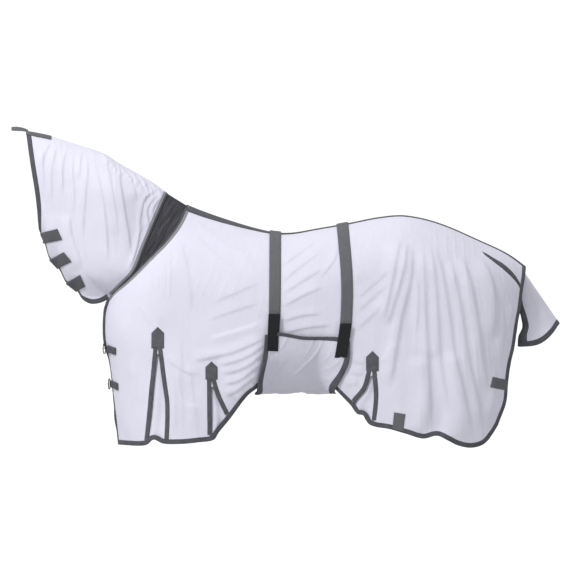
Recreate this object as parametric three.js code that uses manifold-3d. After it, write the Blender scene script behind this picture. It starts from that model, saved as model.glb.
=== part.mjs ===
// Horse fly sheet: a light mesh rug with a neck cover, a belly flap and a tail flap, in the shape it takes
// on a standing horse. Millimetres. +X runs to the tail, +Z is up and the horse's near (left) side is -Y.
// The origin is on the horse's back, under the lowest point of the spine line.
//
// The rug follows two smooth outlines, the trunk and the neck. Each is a graph: its half width is a function
// of x and z. A piece is drawn flat in the side view (x, z) and then laid on its outline at a layer height.

import * as THREE from "three";
import { mergeVertices } from "three/addons/utils/BufferGeometryUtils.js";
import Module from "manifold-3d";

const wasm = await Module();
wasm.setup();

// ---------------------------------------------------------------- driving dimensions

const CLOTH = 2; // thickness of a cloth solid
const TRIM = 1.6; // thickness of bindings, webbing and patches
const BINDING = 20; // width of an edge binding
const WEBBING = 50; // width of the two surcingles
const STRAP = 30; // width of the chest straps

// Height of each layer's inner face over the horse's outline.
const LAYER = {
  insert: -9,
  mesh: -4.5,
  cloth: 0,
  webbing: 8.5,
  throatTab: 8,
  flap: 13,
  hook: 19,
};

const BELLY_Z = -678; // underside of the belly
const BELLY_ROUNDNESS = 2.4; // exponent of the belly's section; 2 is an ellipse
const SKIRT_FALL = 420; // how much lower than the belly the rounding ends where the skirts hang free
const SKIRT_FLARE = 0.04; // widening of the hanging skirts for each unit of fall
const CHEST_LENGTH = 258; // how far back the chest's rounding reaches
const BUTTOCK_LENGTH = 330; // how far forward the buttocks' rounding reaches
const SEAM_GAP = 2; // room between a sheet and the binding along its edge
const CUTTER = { low: -9, thickness: 20 }; // a cutter reaches well through the cloth on both sides
const NECK_INSET = 15; // the neck cover's rear edge lies this far inside the rug's neckline

// ---------------------------------------------------------------- small helpers

const mix = (a, b, t) => a + (b - a) * t;
const clamp = THREE.MathUtils.clamp;
const smoothstep = (t) => THREE.MathUtils.smoothstep(t, 0, 1);
const steps = (n) => Array.from({ length: n + 1 }, (_, i) => i / n);

const closerAtStart = (power) => (t) => t ** power;
const closerAtEnds = (t) => t - (0.75 * Math.sin(2 * Math.PI * t)) / (2 * Math.PI);

// A smooth function through (x, value) points given in rising x, constant beyond its ends.
function smooth(points) {
  const slope = points.map((_, i) => {
    const a = points[Math.max(i - 1, 0)];
    const b = points[Math.min(i + 1, points.length - 1)];
    return (b[1] - a[1]) / (b[0] - a[0]);
  });
  return (x) => {
    if (x <= points[0][0]) return points[0][1];
    const next = points.findIndex((p) => p[0] >= x);
    if (next < 0) return points.at(-1)[1];
    const [x0, y0] = points[next - 1];
    const [x1, y1] = points[next];
    const span = x1 - x0;
    const t = (x - x0) / span;
    const hermite = (2 * t - 3) * t * t;
    return (
      y0 * (1 + hermite) - y1 * hermite +
      span * slope[next - 1] * t * (1 - t) * (1 - t) -
      span * slope[next] * t * t * (1 - t)
    );
  };
}

// A smooth line in the side view through (x, z) points. at(t) takes the share of its length.
function line(points) {
  const curve = new THREE.CatmullRomCurve3(
    points.map(([x, z]) => new THREE.Vector3(x, 0, z)),
    false,
    "centripetal",
  );
  curve.arcLengthDivisions = 400;
  const at = (t) => {
    const p = curve.getPointAt(clamp(t, 0, 1));
    return [p.x, p.z];
  };
  return { at, length: curve.getLength() };
}

// ---------------------------------------------------------------- the trunk's outline

const spineHeight = smooth([
  [-800, 342], [-645, 249], [-529, 170], [-447, 122], [-275, 58], [-99, 8], [0, 0], [120, 19],
  [258, 43], [387, 68], [499, 75], [645, 42], [834, -39], [942, -91], [1019, -146], [1100, -215],
]);
const trunkHalfWidth = smooth([
  [-800, 228], [-600, 262], [-400, 286], [-150, 305], [60, 318], [250, 318], [450, 312], [700, 296],
  [900, 272], [1060, 245],
]);
const crownDepth = smooth([[-800, 430], [-440, 385], [-200, 320], [60, 290], [450, 250], [1060, 235]]);
const ridgeDepth = smooth([[-800, 60], [-450, 45], [-250, 15], [-100, 0.01], [1060, 0.01]]);
const bellyShare = smooth([[-400, 0], [-150, 0.55], [-50, 1], [120, 1], [210, 0.55], [470, 0]]);
const chestX = smooth([
  [-950, -744], [-760, -760], [-600, -774], [-470, -797], [-400, -801], [-330, -797], [-280, -784],
  [-200, -748], [-74, -676], [19, -634], [120, -600],
]);
const buttockX = smooth([[-950, 985], [-800, 1000], [-600, 1028], [-300, 1062], [-100, 1085]]);

const LEAST_DROP = 0.02; // the two sides stop this far below the spine line
const LEAST_CHEST = 0.4; // and this far behind the chest's front line

// Share of the full width left at a distance from a rounded end.
const rounding = (distance, length) => {
  const t = clamp(distance / length, 0, 1);
  return Math.sqrt(1 - (1 - t) ** 2);
};

function trunkWidth(x, z) {
  const drop = Math.max(spineHeight(x) - z, LEAST_DROP);
  const crown = crownDepth(x);
  const ridge = Math.sqrt(drop / (drop + Math.max(ridgeDepth(x), 0)));
  const side = trunkHalfWidth(x) * rounding(drop, crown) * ridge;
  const fall = Math.max(drop - crown, 0);
  const share = clamp(bellyShare(x), 0, 1);
  const belly = spineHeight(x) - crown - BELLY_Z + SKIRT_FALL * (1 - share) ** 2;
  const bottom = 1 - Math.min(fall / belly, 0.9999) ** BELLY_ROUNDNESS;
  const round = bottom ** (1 / BELLY_ROUNDNESS);
  const straight = 1 + (SKIRT_FLARE * fall) / 400;
  const front = rounding(Math.max(x - chestX(z), LEAST_CHEST), CHEST_LENGTH);
  const back = rounding(buttockX(z) - x, BUTTOCK_LENGTH);
  return side * mix(straight, round, share) * front * back;
}

// ---------------------------------------------------------------- lines of the rug in the side view

const WITHERS = [-447, 122];
const CHEST_TOP = [-781, -285];
const HEM_FRONT = [-741, -912];
const HEM_REAR = [895, -826];
const DOCK = [1019, -146];

const spineLine = { at: (t) => {
  const x = mix(WITHERS[0], DOCK[0], t);
  return [x, spineHeight(x)];
} };
const NECKLINE = [
  WITHERS, [-492, 24], [-571, -74], [-646, -151], [-703, -207], [-753, -249], CHEST_TOP,
];
const CHEST = [
  CHEST_TOP, [-795, -330], [-800, -400], [-796, -473], [-779, -560], [-771, -630], [-759, -740],
  [-748, -840], HEM_FRONT,
];
const neckline = line(NECKLINE);
const chestLine = line(CHEST);
const frontLine = line([...NECKLINE, ...CHEST.slice(1)]);
const HEM = [
  HEM_FRONT, [-619, -911], [-586, -888], [-545, -904], [-473, -906], [-396, -899], [-327, -887],
  [-308, -858], [-262, -802], [-181, -697], [-146, -669], [-60, -590], [30, -566], [120, -590],
  [202, -677], [262, -748], [305, -786], [353, -826], [426, -841], [499, -862], [572, -882],
  [632, -870], [675, -889], [722, -912], [780, -922], [832, -907], [869, -866], HEM_REAR,
];
const hemLine = line(HEM);
const hemHeight = smooth(HEM.slice(1, -5)); // along x, between the skirts' lowest points
const rearLine = line([
  DOCK, [1012, -195], [1002, -245], [993, -318], [980, -391], [968, -482], [946, -572], [937, -654],
  [929, -727], HEM_REAR,
]);

// ---------------------------------------------------------------- the neck's outline

const crestHeight = smooth([
  [-1160, 443], [-1032, 417], [-925, 383], [-804, 344], [-744, 305], [-645, 249], [-581, 211],
  [-529, 172], [-440, 120],
]);
const throatHeight = smooth([
  [-1150, 60], [-1084, 12], [-1058, -48], [-1036, -117], [-998, -156], [-965, -217], [-918, -254],
  [-896, -290], [-863, -345], [-774, -420], [-500, -470],
]);
const neckHalfWidth = smooth([[-1150, 92], [-1000, 112], [-800, 138], [-500, 180]]);
const NECK_CROWN = 190;
const NECK_THROAT = 170;
const NECK_BLEND = 260; // the neck takes up the rug's width over this length

const neckRearLine = line([[-529, 172], [-580, 50], [-628, -68], [-671, -172], [-716, -219], [-770, -272]]);
const neckFrontLine = line([[-1141, 439], [-1120, 300], [-1096, 150], [-1084, 17]]);
const neckThroatLine = line([
  [-1084, 17], [-1058, -43], [-1036, -112], [-998, -151], [-965, -212], [-918, -249], [-896, -283],
  [-863, -303], [-819, -299], [-770, -272],
]);
const crestLine = { at: (t) => {
  const x = mix(-1141, -529, t);
  return [x, crestHeight(x)];
} };

const throatShare = (x, z) => (crestHeight(x) - z) / (crestHeight(x) - throatHeight(x));
const rearEdgeX = smooth([[-272, -770], [-219, -716], [-172, -671], [-68, -628], [50, -580], [172, -529]]);
const rearWidth = smooth(
  steps(12).map((t) => {
    const [x, z] = neckRearLine.at(t);
    return [throatShare(x, z), Math.max(trunkWidth(x, z) - NECK_INSET * smoothstep(4 * t), 0)];
  }),
);

function neckWidth(x, z) {
  const drop = Math.max(crestHeight(x) - z, LEAST_DROP);
  const crown = rounding(drop, NECK_CROWN) * Math.sqrt(drop / (drop + 12));
  const throat = rounding(Math.max(z - throatHeight(x), 1), NECK_THROAT);
  const blend = smoothstep(1 - (rearEdgeX(z) - x) / NECK_BLEND);
  return mix(neckHalfWidth(x) * crown * throat, rearWidth(throatShare(x, z)), blend);
}

// ---------------------------------------------------------------- surfaces and solids

// A surface gives the near side's point and outward normal for a place in the side view.
function surface(width) {
  const point = (x, z) => new THREE.Vector3(x, -width(x, z), z);
  const normal = (x, z) => {
    const e = 0.01;
    const dx = (width(x + e, z) - width(x - e, z)) / (2 * e);
    const dz = (width(x, z) - width(x, z - e)) / e;
    return new THREE.Vector3(-dx, -1, -dz).normalize();
  };
  return { point, normal };
}
const trunk = surface(trunkWidth);
const neck = surface(neckWidth);

const flipY = (v) => new THREE.Vector3(v.x, -v.y, v.z);

// Closed solid between two faces that share one set of triangles and one boundary loop.
function solid(inner, outer, triangles, loop) {
  const n = inner.length;
  const index = [];
  for (const [a, b, c] of triangles) {
    index.push(n + a, n + b, n + c);
    index.push(a, c, b);
  }
  loop.forEach((a, i) => {
    const b = loop[(i + 1) % loop.length];
    index.push(a, b, n + b);
    index.push(a, n + b, n + a);
  });
  const geometry = new THREE.BufferGeometry().setFromPoints([...inner, ...outer]);
  geometry.setIndex(index);
  return geometry;
}

// Rows run down and columns towards the tail on the near side, so faces point outwards.
function gridSolid(points, normals, low, thickness) {
  const rows = points.length;
  const columns = points[0].length;
  const id = (r, c) => r * columns + c;
  const raise = (height) =>
    points.flatMap((row, r) => row.map((p, c) => p.clone().addScaledVector(normals[r][c], height)));
  const triangles = [];
  for (let r = 0; r + 1 < rows; r++) {
    for (let c = 0; c + 1 < columns; c++) {
      triangles.push([id(r, c), id(r + 1, c), id(r + 1, c + 1)]);
      triangles.push([id(r, c), id(r + 1, c + 1), id(r, c + 1)]);
    }
  }
  const loop = [];
  for (let r = 0; r + 1 < rows; r++) loop.push(id(r, 0));
  for (let c = 0; c + 1 < columns; c++) loop.push(id(rows - 1, c));
  for (let r = rows - 1; r > 0; r--) loop.push(id(r, columns - 1));
  for (let c = columns - 1; c > 0; c--) loop.push(id(0, c));
  return solid(raise(low), raise(low + thickness), triangles, loop);
}

// Outward normals of a free grid of points, from its own rows and columns.
function gridNormals(points) {
  const at = (r, c) => points[clamp(r, 0, points.length - 1)][clamp(c, 0, points[0].length - 1)];
  return points.map((row, r) =>
    row.map((_, c) => {
      const down = at(r + 1, c).clone().sub(at(r - 1, c));
      const along = at(r, c + 1).clone().sub(at(r, c - 1));
      return down.cross(along).normalize();
    }),
  );
}

// A panel between four lines of the side view, laid on a surface. Its rows and columns are closer where the
// spacing's slope is lower.
function panel(on, lines, rows, columns, rowSpacing, columnSpacing) {
  const { top, bottom, left, right } = lines;
  const corner = [top.at(0), top.at(1), bottom.at(0), bottom.at(1)];
  const places = steps(rows).map((tr) => {
    const v = rowSpacing(tr);
    return steps(columns).map((tc) => {
      const u = columnSpacing(tc);
      const ends = [top.at(u), bottom.at(u), left.at(v), right.at(v)];
      return [0, 1].map((k) =>
        mix(ends[0][k], ends[1][k], v) + mix(ends[2][k], ends[3][k], u) -
        mix(mix(corner[0][k], corner[1][k], u), mix(corner[2][k], corner[3][k], u), v));
    });
  });
  const points = places.map((row) => row.map(([x, z]) => on.point(x, z)));
  const normals = places.map((row) => row.map(([x, z]) => on.normal(x, z)));
  return gridSolid(points, normals, LAYER.cloth, CLOTH);
}

// A strip along an edge of the side view, between two distances inside it; the cloth lies on the edge's
// left side as it runs, seen from the near side.
function edgeStrip(on, places, [from, to], low, thickness) {
  const points = places.map(([x, z]) => on.point(x, z));
  const normals = places.map(([x, z]) => on.normal(x, z));
  const inward = points.map((_, i) => {
    const before = points[Math.max(i - 1, 0)];
    const after = points[Math.min(i + 1, points.length - 1)];
    return normals[i].clone().cross(after.clone().sub(before)).normalize();
  });
  const rows = points.map((p, i) => [to, from].map((w) => p.clone().addScaledVector(inward[i], w)));
  return gridSolid(rows.reverse(), normals.map((n) => [n, n]).reverse(), low, thickness);
}
const edgeBinding = (on, places) => edgeStrip(on, places, [0, BINDING], LAYER.cloth, TRIM);
const edgeCutter = (on, places) =>
  edgeStrip(on, places, [-4, BINDING + SEAM_GAP], CUTTER.low, CUTTER.thickness);

// A flat outline of the side view, laid on a surface.
function outlineSolid(on, outline, low, thickness = TRIM) {
  const flat = outline.map(([x, z]) => new THREE.Vector2(x, z));
  if (THREE.ShapeUtils.isClockWise(flat)) flat.reverse();
  const triangles = THREE.ShapeUtils.triangulateShape(flat, []);
  const raised = (height) =>
    flat.map((p) => on.point(p.x, p.y).addScaledVector(on.normal(p.x, p.y), height));
  return solid(raised(low), raised(low + thickness), triangles, flat.map((_, i) => i));
}

// Adds points along a closed outline so that no side is longer than the step.
function divided(outline, step) {
  return outline.flatMap(([x, z], i) => {
    const [x1, z1] = outline[(i + 1) % outline.length];
    const count = Math.ceil(Math.hypot(x1 - x, z1 - z) / step);
    return Array.from({ length: count }, (_, k) => [mix(x, x1, k / count), mix(z, z1, k / count)]);
  });
}

const toManifold = (geometry) => {
  const plain = geometry.clone();
  plain.deleteAttribute("normal");
  plain.deleteAttribute("uv");
  const merged = mergeVertices(plain, 1e-3);
  return new wasm.Manifold(new wasm.Mesh({
    numProp: 3,
    vertProperties: merged.attributes.position.array,
    triVerts: new Uint32Array(merged.index.array),
  }));
};
// A sheet with the places of its bindings and openings cut away; only its largest piece is kept.
function cut(geometry, cutters) {
  const left = cutters.reduce((body, cutter) => body.subtract(toManifold(cutter)), toManifold(geometry));
  const pieces = left.decompose().sort((a, b) => b.volume() - a.volume());
  const mesh = pieces[0].getMesh();
  const result = new THREE.BufferGeometry();
  result.setAttribute("position", new THREE.BufferAttribute(new Float32Array(mesh.vertProperties), 3));
  result.setIndex(new THREE.BufferAttribute(new Uint32Array(mesh.triVerts), 1));
  return result;
}

// ---------------------------------------------------------------- materials

const cloth = new THREE.MeshStandardMaterial({ color: 0xe4e4f0, roughness: 0.9, metalness: 0 });
const binding = new THREE.MeshStandardMaterial({ color: 0x55565c, roughness: 0.9, metalness: 0 });
const webbing = new THREE.MeshStandardMaterial({ color: 0x606265, roughness: 0.85, metalness: 0 });
const hook = new THREE.MeshStandardMaterial({ color: 0x262728, roughness: 0.95, metalness: 0 });
const stretchMesh = new THREE.MeshStandardMaterial({ color: 0x2d2d31, roughness: 0.9, metalness: 0 });
const steel = new THREE.MeshStandardMaterial({ color: 0xa5a8ad, roughness: 0.3, metalness: 0.9 });

const flySheet = new THREE.Group();

function add(name, geometry, material) {
  const mesh = new THREE.Mesh(geometry, material);
  mesh.name = name;
  flySheet.add(mesh);
  return mesh;
}
function addPair(name, geometry, material) {
  add(`${name}_near`, geometry, material);
  add(`${name}_far`, geometry, material).scale.y = -1;
}

// ---------------------------------------------------------------- gussets

// Each side has three gussets: a slit from a patch down to the hem, its edges bound, with cloth behind.
// left and right give the slit's edges as (z, x) points; hem gives where each of them meets the hem, and
// ends where the bindings stop above the hem's own binding.
const GUSSETS = [
  {
    name: "front_gusset", x: -568, tip: -404, shoulder: -430, foot: -496, half: 27, crotch: -534,
    left: smooth([[-905, -619], [-492, -577]]),
    right: smooth([[-905, -530], [-740, -526], [-652, -537], [-492, -559]]),
    hem: [-908, -902], ends: [-880, -877],
  },
  {
    name: "middle_gusset", x: -337, tip: -552, shoulder: -576, foot: -630, half: 26, crotch: -676,
    left: smooth([[-890, -345], [-626, -347]]),
    right: smooth([[-812, -258], [-785, -267], [-697, -308], [-626, -330]]),
    hem: [-888, -806], ends: [-850, -764],
  },
  {
    name: "rear_gusset", x: 354, tip: -507, shoulder: -533, foot: -593, half: 27, crotch: -628,
    left: smooth([[-752, 264], [-722, 274], [-666, 318], [-593, 340]]),
    right: smooth([[-824, 359], [-704, 370], [-593, 362]]),
    hem: [-750, -822], ends: [-716, -796],
  },
];
const INSERT_OVERLAP = 14; // the insert reaches this far behind the slit's edges
const SLIT_STEPS = 6;

// Places down a slit's edge, shifted sideways by a distance square to it.
const edgePlaces = (edge, top, bottom, shift) =>
  steps(SLIT_STEPS).map((t) => {
    const z = mix(top, bottom, t);
    const lean = (edge(z + 1) - edge(z - 1)) / 2;
    return [edge(z) + shift * Math.hypot(1, lean), z];
  });

const bindingTop = ({ foot }) => foot + 12;

// The side panel is cut away under the slit's bindings and between them.
function slitCutter(gusset) {
  const { left, right, hem } = gusset;
  const reach = BINDING / 2 + SEAM_GAP;
  const top = bindingTop(gusset) + SEAM_GAP;
  return outlineSolid(trunk, [
    ...edgePlaces(left, top, hem[0] - 40, -reach),
    ...edgePlaces(right, top, hem[1] - 40, reach).reverse(),
  ], CUTTER.low, CUTTER.thickness);
}

// The binding runs down both edges of the slit; its two legs join above the crotch.
function slitBinding(gusset) {
  const { left, right, crotch, ends } = gusset;
  const half = BINDING / 2;
  const top = bindingTop(gusset);
  const joined = steps(2).slice(0, -1).map((t) => {
    const z = mix(top, crotch, t);
    return steps(3).map((u) => [mix(left(z) - half, right(z) + half, u), z]);
  });
  const legs = [[left, -half], [left, half], [right, -half], [right, half]];
  const sides = legs.map(([edge, shift], i) =>
    edgePlaces(edge, crotch, ends[i < 2 ? 0 : 1], shift));
  const split = steps(SLIT_STEPS).map((_, row) => sides.map((places) => places[row]));
  const places = [...joined, ...split];
  const id = (row, column) => row * legs.length + column;
  const crotchRow = joined.length;
  const last = places.length - 1;
  const triangles = [];
  for (let row = 0; row < last; row++) {
    for (const column of row < crotchRow ? [0, 1, 2] : [0, 2]) {
      triangles.push([id(row, column), id(row + 1, column), id(row + 1, column + 1)]);
      triangles.push([id(row, column), id(row + 1, column + 1), id(row, column + 1)]);
    }
  }
  const down = (column, from, to) =>
    Array.from({ length: Math.abs(to - from) + 1 }, (_, i) => id(from + i * Math.sign(to - from), column));
  const loop = [
    ...down(0, 0, last), ...down(1, last, crotchRow), ...down(2, crotchRow, last), ...down(3, last, 0),
    id(0, 2), id(0, 1),
  ];
  const raised = (height) => places.flat().map(([x, z]) =>
    trunk.point(x, z).addScaledVector(trunk.normal(x, z), height));
  return solid(raised(LAYER.cloth), raised(LAYER.cloth + TRIM), triangles, loop);
}

function gussetInsert({ left, right, crotch, hem }) {
  const across = (z, u) => mix(left(z) - INSERT_OVERLAP, right(z) + INSERT_OVERLAP, u);
  const places = steps(SLIT_STEPS).map((t) => steps(4).map((u) => {
    const end = hemHeight(across(mix(hem[0], hem[1], u), u)) + SEAM_GAP;
    const z = mix(crotch, end, t);
    return [across(z, u), z];
  }));
  const points = places.map((row) => row.map(([x, z]) => trunk.point(x, z)));
  return gridSolid(points, gridNormals(points), LAYER.insert, TRIM);
}

const gussetPatch = ({ x, tip, shoulder, foot, half }) => outlineSolid(
  trunk,
  divided([[x, tip], [x + half, shoulder], [x + half, foot], [x - half, foot], [x - half, shoulder]], 30),
  LAYER.webbing,
);

// ---------------------------------------------------------------- side panels and their bindings

const necklinePlaces = steps(14).map((t) => neckline.at(mix(0.1, 0.985, t)));
const hemPlaces = [
  ...steps(12).map((t) => chestLine.at(mix(0.03, 1, t))),
  ...steps(34).slice(1).map((t) => hemLine.at(t)),
  ...steps(14).slice(1).map((t) => rearLine.at(1 - t * 0.95)),
];

// How far the spine's binding comes down each side, along x.
const spineBindingDrop = smooth([[-447, 26], [-300, 19], [-150, 9], [100, 3], [1019, 3]]);
function spineStrip(start, end, extra, low, thickness) {
  const rows = steps(22).map((t) => {
    const x = mix(start, end, t);
    const drop = spineBindingDrop(x) + extra;
    const near = [1, 0.3].map((share) => trunk.point(x, spineHeight(x) - share * drop));
    return [...near, new THREE.Vector3(x, 0, spineHeight(x)), ...near.map(flipY).reverse()];
  });
  return gridSolid(rows, gridNormals(rows), low, thickness);
}

// Lens-shaped dart over each side of the croup.
const dartLine = line([[829, -84], [871, -111], [914, -142], [955, -184], [976, -224]]);
const DART_HALF = 8.5;
const dartSide = (sign, extra) => steps(8).map((t) => {
  const [x, z] = dartLine.at(t);
  const half = (1 + extra + DART_HALF * Math.sin(Math.PI * t) ** 0.6) * Math.SQRT1_2;
  return [x - sign * half, z - sign * half];
});
const dartOutline = (extra) => [...dartSide(1, extra), ...dartSide(-1, extra).reverse()];

const sideCutters = [
  ...GUSSETS.map(slitCutter),
  edgeCutter(trunk, necklinePlaces),
  edgeCutter(trunk, hemPlaces),
  spineStrip(WITHERS[0] - 6, DOCK[0] + 6, SEAM_GAP, CUTTER.low, CUTTER.thickness),
  outlineSolid(trunk, dartOutline(SEAM_GAP), CUTTER.low, CUTTER.thickness),
];
const wholeSide = panel(
  trunk,
  { top: spineLine, bottom: hemLine, left: frontLine, right: rearLine },
  12, 24, closerAtStart(1.5), closerAtStart(1.3),
);
addPair("side_panel", cut(wholeSide, sideCutters), cloth);
for (const gusset of GUSSETS) {
  addPair(`${gusset.name}_insert`, gussetInsert(gusset), cloth);
  addPair(`${gusset.name}_binding`, slitBinding(gusset), binding);
  addPair(`${gusset.name}_patch`, gussetPatch(gusset), webbing);
}
add("spine_binding", spineStrip(WITHERS[0] + 1, 1006, 0, LAYER.cloth, TRIM), binding);
addPair("neckline_binding", edgeBinding(trunk, necklinePlaces), binding);
addPair("hem_binding", edgeBinding(trunk, hemPlaces), binding);
addPair("croup_dart", outlineSolid(trunk, dartOutline(0), LAYER.cloth), binding);

// ---------------------------------------------------------------- surcingles over the back

// A band over the top of an outline, from the far side's end up and down to the near side's end.
function overTop(on, top, centre, width, ends, rows) {
  const side = (end, mirror) => steps(rows).map((t) => [-0.5, 0, 0.5].map((across) => {
    const reach = top(centre(end)) - end;
    const level = top(centre(end)) - reach * t ** 2;
    const x = centre(level) + across * width;
    const z = Math.min(top(x) - LEAST_DROP, mix(top(x), end, t ** 2));
    const point = on.point(x, z);
    return mirror ? flipY(point) : point;
  }));
  const grid = [...side(ends.far, true).reverse(), ...side(ends.near, false)];
  return gridSolid(grid, gridNormals(grid), LAYER.webbing, TRIM);
}
const FRONT_CENTRE = smooth([[-502, -76], [-347, -66], [4, -64]]);
const REAR_CENTRE = smooth([[-533, 222], [-388, 240], [-204, 244], [47, 226]]);
add(
  "front_surcingle",
  overTop(trunk, spineHeight, FRONT_CENTRE, WEBBING, { near: -425, far: -540 }, 11),
  webbing,
);
add(
  "rear_surcingle",
  overTop(trunk, spineHeight, REAR_CENTRE, WEBBING, { near: -450, far: -560 }, 11),
  webbing,
);

// ---------------------------------------------------------------- flat tabs that take the leg straps

// A plane plate over a surface, from an outline in the side view.
const PLATE_LIFT = 12;
function plate(on, outline) {
  const centre = [0, 1].map((k) => outline.reduce((sum, p) => sum + p[k], 0) / outline.length);
  const normal = on.normal(...centre);
  const middle = on.point(...centre).addScaledVector(normal, PLATE_LIFT);
  const inner = outline.map(([x, z]) => {
    const y = middle.y - ((x - middle.x) * normal.x + (z - middle.z) * normal.z) / normal.y;
    return new THREE.Vector3(x, y, z);
  });
  const outer = inner.map((p) => p.clone().addScaledVector(normal, TRIM));
  return solid(inner, outer, [[0, 1, 2], [0, 2, 3]], [0, 1, 2, 3]);
}
addPair("rear_tab", plate(trunk, [[858, -663], [932, -678], [936, -633], [869, -618]]), webbing);
addPair("hem_tab", plate(trunk, [[440, -841], [485, -851], [495, -778], [447, -770]]), webbing);

// ---------------------------------------------------------------- chest closure

// Each strap has a chape on the near side that holds a buckle, and a billet from the far side.
const CHEST_STRAPS = [
  { name: "upper", front: -783, back: -748, z: -498 },
  { name: "lower", front: -764, back: -738, z: -651 },
];
const CHAPE_FALL = 12; // how much lower the chape's sewn end is than its buckle end
// Frame of bent wire, its height above the cloth and how far it stands off the chape's end.
const BUCKLE = { width: 34, height: 40, wire: 2.2, corner: 6, lift: 13.5, offset: 4 };
const TONGUE = { wire: 1.5, gap: 0.5 };
const BILLET_ENDS = [112, -14]; // from far (+Y) to near (-Y), as distances round the chest

function billet({ z }) {
  const half = trunkHalfWidth(-790);
  const grid = [0.5, 0, -0.5].map((across) => steps(10).map((t) => {
    const y = mix(...BILLET_ENDS, t);
    const level = z + across * STRAP;
    const x = chestX(level) + CHEST_LENGTH * (1 - Math.sqrt(1 - (y / half) ** 2));
    return new THREE.Vector3(x, y, level);
  }));
  return gridSolid(grid, gridNormals(grid), LAYER.webbing, TRIM);
}

// The buckle stands on the chape's front end, along the chest's tangent there.
function buckleFrame({ front, z }) {
  const at = trunk.point(front, z);
  const outward = trunk.normal(front, z).setZ(0).normalize();
  const along = new THREE.Vector3(0, 0, 1).cross(outward);
  if (along.y < 0) along.negate();
  const origin = at.addScaledVector(outward, BUCKLE.lift).addScaledVector(along, BUCKLE.offset);
  return { origin, along, outward };
}
function buckleRing(strap) {
  const { origin, along } = buckleFrame(strap);
  const { width, height, corner, wire } = BUCKLE;
  const corners = [[0, -1], [1, -1], [1, 1], [0, 1]];
  const path = corners.flatMap(([u, v]) => {
    const turn = u === 0 ? 1 : -1;
    const a = [u * width, v * (height / 2) - v * corner];
    const b = [u * width + turn * corner, v * (height / 2)];
    const first = (u === 0) === (v < 0);
    return first ? [a, b] : [b, a];
  });
  const points = path.map(([u, v]) =>
    origin.clone().addScaledVector(along, u).add(new THREE.Vector3(0, 0, v)));
  const curve = new THREE.CatmullRomCurve3(points, true, "centripetal");
  return new THREE.TubeGeometry(curve, 24, wire, 6, true);
}
function buckleTongue(strap) {
  const { origin, along, outward } = buckleFrame(strap);
  const lift = BUCKLE.wire + TONGUE.wire + TONGUE.gap;
  const rod = new THREE.CapsuleGeometry(TONGUE.wire, BUCKLE.width, 2, 6);
  const turn = new THREE.Quaternion().setFromUnitVectors(new THREE.Vector3(0, 1, 0), along);
  const centre = origin.clone().addScaledVector(along, BUCKLE.width / 2).addScaledVector(outward, lift);
  return rod.applyQuaternion(turn).translate(...centre.toArray());
}
for (const strap of CHEST_STRAPS) {
  const { name, front, back, z } = strap;
  const half = STRAP / 2;
  const sewn = z - CHAPE_FALL;
  const chape = [[front, z + half], [back, sewn + half], [back, sewn - half], [front, z - half]];
  add(`chest_chape_${name}`, outlineSolid(trunk, divided(chape, 20), LAYER.webbing), webbing);
  add(`chest_billet_${name}`, billet(strap), webbing);
  add(`chest_buckle_${name}`, buckleRing(strap), steel);
  add(`buckle_tongue_${name}`, buckleTongue(strap), steel);
}

// ---------------------------------------------------------------- neck cover

const neckEdgePlaces = [
  ...steps(9).map((t) => neckFrontLine.at(mix(0.04, 1, t))),
  ...steps(16).slice(1).map((t) => neckThroatLine.at(t * 0.94)),
];

// The binding of the rear edge goes over the crest in one piece.
function neckRearStrip([from, to], end, low, thickness) {
  const near = steps(13).map((share) => {
    const t = share * end;
    const [x, z] = neckRearLine.at(t);
    const above = neck.point(...neckRearLine.at(t - 0.02));
    const below = neck.point(...neckRearLine.at(t + 0.02));
    const tailwards = neck.normal(x, z).cross(below.sub(above)).normalize();
    return [to, from].map((w) => neck.point(x, z).addScaledVector(tailwards, -w));
  });
  const grid = [...near.map((row) => row.map(flipY)).reverse(), ...near];
  return gridSolid(grid, gridNormals(grid), low, thickness);
}

const wholeNeck = panel(
  neck,
  { top: crestLine, bottom: neckThroatLine, left: neckFrontLine, right: neckRearLine },
  10, 15, closerAtEnds, closerAtStart(1),
);
addPair("neck_panel", cut(wholeNeck, [
  edgeCutter(neck, neckEdgePlaces),
  neckRearStrip([-4, BINDING + SEAM_GAP], 1, CUTTER.low, CUTTER.thickness),
]), cloth);
addPair("neck_edge_binding", edgeBinding(neck, neckEdgePlaces), binding);
add("neck_rear_binding", neckRearStrip([0, BINDING], 0.98, LAYER.cloth, TRIM), binding);

// Stretch mesh fills the fan between the neck cover's rear edge and the rug's neckline.
const MESH_END = { neck: 0.72, rug: 0.68 };
const meshRows = steps(9).map((t) => {
  const a = neck.point(...neckRearLine.at(t * MESH_END.neck));
  const b = trunk.point(...neckline.at(t * MESH_END.rug));
  return [0.05, 0.5, 0.95].map((u) => a.clone().lerp(b, u));
});
const meshGrid = [...meshRows.map((row) => row.map(flipY)).reverse(), ...meshRows];
add("neck_stretch_mesh", gridSolid(meshGrid, gridNormals(meshGrid), LAYER.mesh, TRIM), stretchMesh);

// Poll strap: sewn along the crest, with a free end in front of the ears.
const POLL = { sewn: [-1138, -1034], free: [-1204, -1143], half: 14, twist: 0.55 };
const pollSewn = steps(5).map((t) => {
  const x = mix(...POLL.sewn, t);
  const near = neck.point(x, crestHeight(x) - 2.2);
  return [near, new THREE.Vector3(x, 0, crestHeight(x)), flipY(near)];
});
add("poll_strap_sewn", gridSolid(pollSewn, gridNormals(pollSewn), LAYER.webbing, TRIM), webbing);
const pollFree = steps(5).map((t) => {
  const x = mix(...POLL.free, t);
  const z = mix(450, 446, t) + 3 * Math.sin(Math.PI * t);
  return [-POLL.half, 0, POLL.half].map((y) =>
    new THREE.Vector3(x, y * Math.cos(POLL.twist * (1 - t)), z + y * Math.sin(POLL.twist * (1 - t))));
});
add("poll_strap_end", gridSolid(pollFree, gridNormals(pollFree), 0, TRIM), webbing);

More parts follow.
